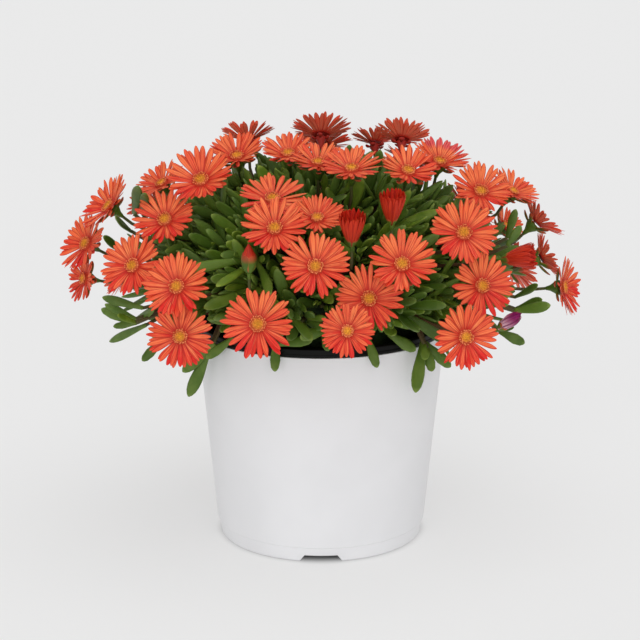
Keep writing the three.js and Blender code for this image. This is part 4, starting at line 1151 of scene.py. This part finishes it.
def petal_ring(shape, bloom, cup, start, random):
    """One layer of petals round the hub. The more a petal points up, the lighter it is painted, as painted
    light from above."""
    face, hub = bloom["face"], bloom["hub"]
    axes = frame_of(face)
    length = bloom["length"] + hub * (1 - PETAL_ROOT_SHARE)
    width = PETAL_WIDTH * bloom["radius"] / BLOOM_RADIUS
    for i in range(PETALS_A_LAYER):
        turn = start + (i + stray(PETAL_STRAY["place"], random)) * CIRCLE / PETALS_A_LAYER
        across = spoke(axes, turn)
        along, up = raised(across, face, math.radians(cup + stray(PETAL_STRAY["rise"], random)))
        sway = np.cross(face, across) * stray(PETAL_STRAY["sway"], random)
        root = bloom["place"] + across * hub * PETAL_ROOT_SHARE
        # Painted light: the tone rises where the petal points up, with a random spread
        tone = LEVEL_TONE + RISING_PAINTED_LIGHT * along[2] + stray(PETAL_STRAY["tone"], random)
        tone = np.clip(tone, 0, 1)
        if bloom["name"] == FLUSHED_BLOOM and along @ FLUSHED_SIDE > FLUSHED_FROM:
            tone = FLUSH_TONE
        blade(shape, root, along + sway, up, length * mix(*PETAL_LENGTHS, random()),
              width * mix(*PETAL_WIDTHS, random()), width * PETAL_DEPTH_SHARE,
              PETAL_BEND + stray(PETAL_STRAY["bend"], random), PETAL_OUTLINE, PETAL_SECTION, 0,
              tone, stray(PETAL_STRAY["twist"], random))


def disc(shape, bloom, random):
    """A low dome, and anthers on it by the golden angle."""
    place, face = bloom["place"], bloom["face"]
    axes = frame_of(face)
    radius = DISC_SHARE * bloom["radius"]
    height = DISC_RISE * radius
    turns = turns_round(DISC_SIDES)
    shares = DISC_RINGS / DISC_RINGS[0]
    rings = [ring_of(place + face * (height * math.sqrt(1 - share**2) - DISC_SUNK), axes,
                     radius * DISC_RINGS[0] * share, turns) for share in shares]
    shape.add(np.concatenate(rings), *ring_faces(len(rings), DISC_SIDES), slot=1,
              along=np.repeat(shares, DISC_SIDES))
    for i in range(ANTHERS + RING_ANTHERS):
        if i < ANTHERS:
            share = math.sqrt((i + 0.5) / ANTHERS) * ANTHERS_REACH
        else:
            share = mix(*RING_REACH, random())
        across = spoke(axes, i * math.pi * GOLDEN + stray(ANTHER_STRAY, random))
        level = height * math.sqrt(max(1 - (share / ANTHER_DOME) ** 2, 0))
        level += mix(*ANTHER_UNEVEN, random()) + ANTHER_LIFT * share**2
        middle = place + across * radius * share + face * level
        grain(shape, middle, unit(face + across * share * ANTHER_SPLAY), mix(*ANTHER_SIZE, random()),
              min(share, 1), random(), 2)


def grain(shape, middle, direction, size, along, tone, slot):
    """A plump cushion: two rings of points and two ends."""
    axes = frame_of(direction)
    points = [middle - direction * size * GRAIN_FOOT]
    for level, wide in GRAIN_RINGS:
        for i in range(GRAIN_SIDES):
            ring = spoke(axes, (i + level) * CIRCLE / GRAIN_SIDES)
            points.append(middle + direction * size * level + ring * size * wide)
    points.append(middle + direction * size * GRAIN_TOP)
    triangles = []
    quads = []
    top = 1 + GRAIN_SIDES
    for i in range(GRAIN_SIDES):
        j = (i + 1) % GRAIN_SIDES
        triangles += [(0, 1 + j, 1 + i), (top + i, top + j, top + GRAIN_SIDES)]
        quads.append((1 + i, 1 + j, top + j, top + i))
    shape.add(points, quads, triangles, slot=slot, along=along, tone=tone)


def open_bloom(bloom, materials):
    random = random_source(100 + blooms.index(bloom))
    shape = Shape()
    start = random() * CIRCLE
    petal_ring(shape, bloom, bloom["cup"] - PETAL_SPREAD, start, random)
    petal_ring(shape, bloom, bloom["cup"] + PETAL_SPREAD, start + math.pi / PETALS_A_LAYER, random)
    disc(shape, bloom, random)
    build(f"{bloom['name']}_flower", shape, materials, [bloom["name"]], PETAL_CREASE)


def furled_flower(bloom, form, seed, materials):
    """Petals furled in layers round the axis, and sepals pressed to their foot."""
    random = random_source(seed)
    shape = Shape()
    width, lean = form["petal"]
    for count, inward, tip in form["layers"]:
        furled(shape, bloom, form["profile"], count, tip, width, inward, lean, 0, random)
    furled(shape, bloom, form["profile"], SEPALS, *form["sepal"], 1, random)
    name = bloom["name"].replace("_bloom", "")
    build(f"{name}_flower", shape, materials, [bloom["name"]], PETAL_CREASE)


def stalk(shape, bloom, path, random):
    """The receptacle, its sepals and the stalk, under one bloom."""
    _, top, neck, bend, root, calyx = path
    face = bloom["face"]
    tube(shape, soften([neck, bend, root]), (STALK_RADIUS, STALK_RADIUS * STALK_FLARE), 8, 0, random())
    if bloom["name"] in FURLED_FLOWERS:
        tube(shape, top - np.outer(FURLED_DEPTHS, face), FURLED_RADII, 10, 1, random(), (0.5, 0))
        return
    red = bloom["name"] in RED_CALYXES
    least_tone = RED_CALYX["tone"] if red else 0
    wide = calyx * CALYX_SHARES * (RED_CALYX["width"] if red else 1)
    tube(shape, top - np.outer(CALYX_DEPTHS, face), wide, 14, 1, max(least_tone, random()), (0.5, 0))
    axes = frame_of(face)
    cup = math.radians(min(bloom["cup"], SEPAL_HIGHEST) - SEPAL_DROP)
    start = random() * 6
    for i in range(SEPALS):
        across = spoke(axes, start + i * CIRCLE / SEPALS)
        along, up = raised(across, face, cup)
        length = mix(*SEPAL_LENGTH, random()) * (RED_CALYX["sepals"] if red else 1)
        foot = top - face * SEPAL_ROOT["under"] + across * calyx * SEPAL_ROOT["share"]
        blade(shape, foot, along, up, length, mix(*SEPAL_WIDTH, random()), SEPAL_DEPTH, SEPAL_BEND,
              LEAF_OUTLINE, LEAF_SECTION, 1, max(least_tone, random()))


# Pot and soil


def turned(name, profile, sides=TURNED_SIDES):
    """A round body from a profile of radius and height that starts and ends on
    the axis."""
    mesh = bmesh.new()
    turns = turns_round(sides)
    rings = []
    for radius, height in profile:
        if radius == 0:
            rings.append([mesh.verts.new((0, 0, height * MM))] * sides)
            continue
        rings.append([mesh.verts.new((radius * MM * math.cos(t), radius * MM * math.sin(t), height * MM))
                      for t in turns])
    for low, high in zip(rings, rings[1:]):
        for i in range(sides):
            j = (i + 1) % sides
            mesh.faces.new(list(dict.fromkeys([low[i], low[j], high[j], high[i]])))
    return closed_object(name, mesh)


def closed_object(name, mesh):
    bmesh.ops.recalc_face_normals(mesh, faces=mesh.faces)
    data = bpy.data.meshes.new(name)
    mesh.to_mesh(data)
    mesh.free()
    return placed(name, data)


def cut_with(body, cutters):
    """Takes the cutters out of the body, and softens its edges a little."""
    for cutter in cutters:
        cut = body.modifiers.new("cut", "BOOLEAN")
        cut.operation = "DIFFERENCE"
        cut.solver = "EXACT"
        cut.object = cutter
    bevel = body.modifiers.new("soften", "BEVEL")
    bevel.width = BEVEL * MM
    bevel.segments = 2
    bevel.limit_method = "ANGLE"
    bevel.angle_limit = BEVEL_ANGLE
    graph = bpy.context.evaluated_depsgraph_get()
    data = bpy.data.meshes.new_from_object(body.evaluated_get(graph))
    body.modifiers.clear()
    body.data = data
    for cutter in cutters:
        bpy.data.objects.remove(cutter)
    data.shade_smooth()
    data.set_sharp_from_angle(angle=SHARP_ANGLE)


def drain_cutters(low, high):
    cutters = []
    radius, away = DRAIN["radius"], DRAIN["away"] * MM
    for i in range(DRAIN["count"]):
        turn = (i + 0.5) * CIRCLE / DRAIN["count"]
        cutter = turned("drain", [(0, low), (radius, low), (radius, high), (0, high)], DRAIN["sides"])
        cutter.location = (away * math.cos(turn), away * math.sin(turn), 0)
        cutters.append(cutter)
    return cutters


def notch_cutters():
    """Wedges that leave gaps in the foot, wider at the floor."""
    low, high = NOTCH["low"] / 2, NOTCH["high"] / 2
    outline = [(-low, -NOTCH["below"]), (low, -NOTCH["below"]), (high, NOTCH["height"]),
               (-high, NOTCH["height"])]
    near, far = -NOTCH["from"], -NOTCH["from"] - NOTCH["depth"]
    cutters = []
    for i in range(NOTCH["count"]):
        mesh = bmesh.new()
        ends = [[mesh.verts.new((x * MM, y * MM, z * MM)) for x, z in outline] for y in (near, far)]
        for end in ends:
            mesh.faces.new(end)
        for k in range(4):
            j = (k + 1) % 4
            mesh.faces.new([ends[0][k], ends[0][j], ends[1][j], ends[1][k]])
        cutter = closed_object("notch", mesh)
        cutter.rotation_euler.z = i * CIRCLE / NOTCH["count"]
        cutters.append(cutter)
    return cutters


def inner_radius(height):
    share = (height - FOOT_HEIGHT) / (POT_HEIGHT - FOOT_HEIGHT)
    return mix(POT_LOW_RADIUS, POT_TOP_RADIUS, share) - POT_WALL


def rounded(profile, reach):
    """The profile with its inner corners replaced by short curves."""
    made = [profile[0]]
    for before, here, after in zip(profile, profile[1:], profile[2:]):
        here = np.array(here, float)
        back, on = np.array(before) - here, np.array(after) - here
        start = here + unit(back) * min(reach, np.linalg.norm(back) / 3)
        end = here + unit(on) * min(reach, np.linalg.norm(on) / 3)
        for i in range(CORNER_STEPS + 1):
            share = i / CORNER_STEPS
            made.append(tuple((1 - share) ** 2 * start + 2 * share * (1 - share) * here + share**2 * end))
    return made + [profile[-1]]


def pot_wall(material):
    foot = POT_LOW_RADIUS - FOOT_STEP
    floor_top = FLOOR_LIFT + FLOOR_THICK
    inside = foot - FOOT_RING - FOOT_INSET
    profile = [
        (0, FLOOR_LIFT), (inside, FLOOR_LIFT), (inside - FOOT_LEAN, 0), (foot - FOOT_INSET - FOOT_LEAN, 0),
        (foot - FOOT_INSET, FOOT_EDGE), (foot, FOOT_HEIGHT - FOOT_EDGE), (POT_LOW_RADIUS, FOOT_HEIGHT),
        (POT_TOP_RADIUS, POT_HEIGHT), (inner_radius(POT_HEIGHT), POT_HEIGHT),
        (inner_radius(floor_top), floor_top), (0, floor_top)]
    body = turned("pot_wall", rounded(profile, POT_CORNER))
    cut_with(body, notch_cutters() + drain_cutters(FLOOR_LIFT - CUT_SPARE, floor_top + CUT_SPARE))
    finish_piece(body, [material], ["pot_shell"])


def inner_pot(material):
    low = FLOOR_LIFT + FLOOR_THICK + FIT_GAP
    lip_low = POT_HEIGHT + TOUCH_GAP
    top = POT_HEIGHT + LIP_HEIGHT
    lip = POT_TOP_RADIUS - LIP_INSET
    flare = POT_HEIGHT - LIP_FLARE
    floor_top = low + LINER_WALL

    def outer(height):
        return inner_radius(height) - FIT_GAP

    def inner(height):
        return outer(height) - LINER_WALL

    profile = [
        (0, low), (outer(low), low), (outer(lip_low), lip_low), (lip, lip_low), (lip, lip_low + LIP_BAND),
        (lip - LIP_STEP["inset"], lip_low + LIP_STEP["height"]), (lip - LIP_TAPER, top - LIP_ROUND),
        (lip - LIP_TAPER - LIP_ROUND, top), (lip - LIP_WIDTH + LIP_ROUND, top),
        (lip - LIP_WIDTH, top - LIP_ROUND), (inner(flare), flare), (inner(floor_top), floor_top),
        (0, floor_top)]
    body = turned("pot_inner", rounded(profile, LINER_CORNER))
    cut_with(body, drain_cutters(low - CUT_SPARE, floor_top + CUT_SPARE))
    finish_piece(body, [material], ["pot_liner"])


def soil_bed(material):
    """Soil with an uneven crumbly top, and loose crumbs on it."""
    random = random_source(31)
    low = FLOOR_LIFT + FLOOR_THICK + 2 * FIT_GAP + LINER_WALL

    def edge(height):
        return inner_radius(height) - FIT_GAP - LINER_WALL - SOIL_GAP

    shape = Shape()
    turns = turns_round(SOIL_SIDES)
    radii = [edge(low), *np.linspace(edge(SOIL_TOP - SOIL_SAG), SOIL_INMOST, SOIL_RINGS)]
    rings = []
    for i, radius in enumerate(radii):
        sunk = SOIL_SAG * min(1, max(0, (radius - SOIL_LEVEL_RADIUS) / SOIL_SAG_WIDTH))
        height = low if i == 0 else SOIL_TOP - sunk
        rough = np.array([random() for _ in turns]) - 0.6
        heights = height + (rough * SOIL_ROUGH if i > 1 else 0)
        rings.append(np.stack([radius * np.cos(turns), radius * np.sin(turns),
                               np.broadcast_to(heights, SOIL_SIDES)], axis=1))
    shape.add(np.concatenate(rings), *ring_faces(len(radii), SOIL_SIDES))
    for _ in range(CRUMBS):
        away, turn = mix(*CRUMB_AWAY, math.sqrt(random())), random() * CIRCLE
        size = mix(*CRUMB_SIZE, random() ** 2)
        middle = np.array([away * math.cos(turn), away * math.sin(turn), SOIL_TOP - CRUMB_SUNK])
        direction = unit(np.array([random() - 0.5, random() - 0.5, 0.8]))
        grain(shape, middle, direction, size, 0, random(), 0)
    build("soil_bed", shape, [material], ["soil"])


def heart(shape, slot):
    """The shaded middle of the plant, a little inside its solid. Its dark green colour is painted shade.
    """
    random = random_source(3)
    turns = turns_round(HEART_SIDES)
    profile = [*CROWN_PROFILE, *HEART_PROFILE, (1, HEART_TOP)]
    line = soften([(0.0, radius, height) for radius, height in profile])
    rings = []
    for _, radius, height in line:
        rough = 1 - HEART_ROUGH * np.array([random() for _ in turns])
        wide = radius * HEART_SHRINK * rough
        if height > HEART_SHRINKS_FROM:
            height = mix(HEART_MIDDLE[2], height, HEART_SHRINK)
        rings.append(np.stack([wide * np.cos(turns), HEART_DEPTH_SHARE * wide * np.sin(turns),
                               np.full(HEART_SIDES, height)], axis=1))
    shape.add(np.concatenate(rings), *ring_faces(len(line), HEART_SIDES), slot=slot)


# Everything in its place


def plant(petals, leaf, stem, calyx, heart_shade_material):
    paths = [stalk_path(i) for i in range(len(blooms))]
    outer, inner, young, stems = Shape(), Shape(), Shape(), Shape()
    heart(stems, 2)
    random = random_source(77)
    for bloom, path in zip(blooms, paths):
        stalk(stems, bloom, path, random)
    taken = Taken([point for path in paths for point in spine_of_stalk(path)])
    tufts = main_tufts(taken)
    seen_leaves(outer, stems, taken)
    far_shoots(outer, stems, taken)
    leafy_tufts(tufts, outer, young, stems, taken, random)
    leafy_tufts(filler_tufts(taken), inner, young, stems, taken, random)
    for name, shape in (("leaves_outer", outer), ("leaves_inner", inner), ("leaves_young", young)):
        build(name, shape, [leaf], ["foliage"])
    build("stems", stems, [stem, calyx, heart_shade_material], ["foliage"])
    for bloom in blooms:
        if bloom["name"] in FURLED_FLOWERS:
            form, seed = FURLED_FLOWERS[bloom["name"]]
            furled_flower(bloom, form, seed, [petals[form["look"]], calyx])
        else:
            open_bloom(bloom, [petals["open"], petals["disc"], petals["anther"]])


def studio():
    """A pale floor without an edge in view, soft light from above and from the
    front, and the camera at the photograph's angle."""
    bpy.ops.mesh.primitive_plane_add(size=FLOOR_SIZE, location=(0, 0, -FLOOR_BELOW * MM))
    floor = bpy.context.object
    floor.name = "floor"
    ground = Finish("floor", 1, 0, Emission_Color=(1, 1, 1, 1))
    ground.colour((FLOOR_WHITE, FLOOR_WHITE, FLOOR_WHITE, 1))
    # Painted shadow: the glow fades out under and near the pot's foot
    painted_shadow_radii = [away * MM for away in FLOOR_PAINTED_SHADOW_RADII]
    glow_and_painted_shadow = ground.span(ground.length(ground.place()), *painted_shadow_radii, 0, FLOOR_GLOW)
    ground.link(glow_and_painted_shadow, ground.shader.inputs["Emission Strength"])
    floor.data.materials.append(ground.material)
    world = bpy.data.worlds.new("studio")
    bpy.context.scene.world = world
    world.use_nodes = True
    sky = world.node_tree.nodes["Background"]
    sky.inputs["Color"].default_value = (1, 1, 1, 1)
    sky.inputs["Strength"].default_value = SKY_LIGHT
    for name, side, power, angle in SOFTBOXES:
        lamp = bpy.data.lights.new(name, "SUN")
        lamp.energy = power
        lamp.angle = math.radians(angle)
        placed(name, lamp).rotation_euler = Matrix(frame_of(unit(np.array(side))).T.tolist()).to_euler()
    camera = placed("camera", bpy.data.cameras.new("camera"))
    camera.location = EYE * MM
    camera.rotation_euler = (math.pi / 2 - PITCH, 0, 0)
    camera.data.sensor_width = SENSOR
    camera.data.lens = SENSOR * FOCAL / PICTURE_SIZE
    camera.data.clip_start = 0.01
    camera.data.clip_end = 2 * FLOOR_SIZE
    bpy.context.scene.camera = camera
    bpy.context.scene.view_settings.view_transform = "Standard"


studio()
pot_wall(plastic_finish("white_plastic", srgb(236, 236, 238), srgb(231, 231, 233), 0.36, 0.02))
inner_pot(plastic_finish("dark_plastic", srgb(10, 10, 8), srgb(7, 7, 6), 0.45, 0.04, 0.15))
soil_bed(soil_finish("potting_soil"))
petal_looks = {
    "open": petal_finish("petal", 0.1, root=(210, 38, 26), deep=(228, 34, 26), light=(254, 124, 70),
                         edge=(188, 16, 20), under=(255, 116, 88), pale=(255, 156, 98)),
    "young": petal_finish("young_petal", 0.7, root=(138, 48, 26), deep=(196, 28, 10), light=(214, 44, 18),
                          edge=(156, 12, 8), under=(214, 58, 28), pale=(224, 84, 48)),
    "bud": petal_finish("bud_petal", 0.6, 0.85, root=(210, 96, 52), deep=(184, 30, 14),
                        light=(204, 50, 22), edge=(132, 10, 8), under=(206, 44, 16), pale=(214, 76, 40)),
    "spent": petal_finish("spent_petal", 0.7, 0.95, root=(250, 206, 218), deep=(140, 8, 84),
                          light=(196, 50, 126), edge=(96, 2, 66), under=(140, 6, 92),
                          pale=(238, 160, 196)),
    "disc": disc_finish("disc"),
    "anther": anther_finish("anther"),
}
leaf_look = leaf_finish("leaf", srgb(112, 136, 56), srgb(82, 112, 34), srgb(122, 146, 68),
                        srgb(98, 124, 54))
plant(petal_looks, leaf_look, stem_finish("stem"), calyx_finish("calyx"), heart_painted_shade_finish("heart"))
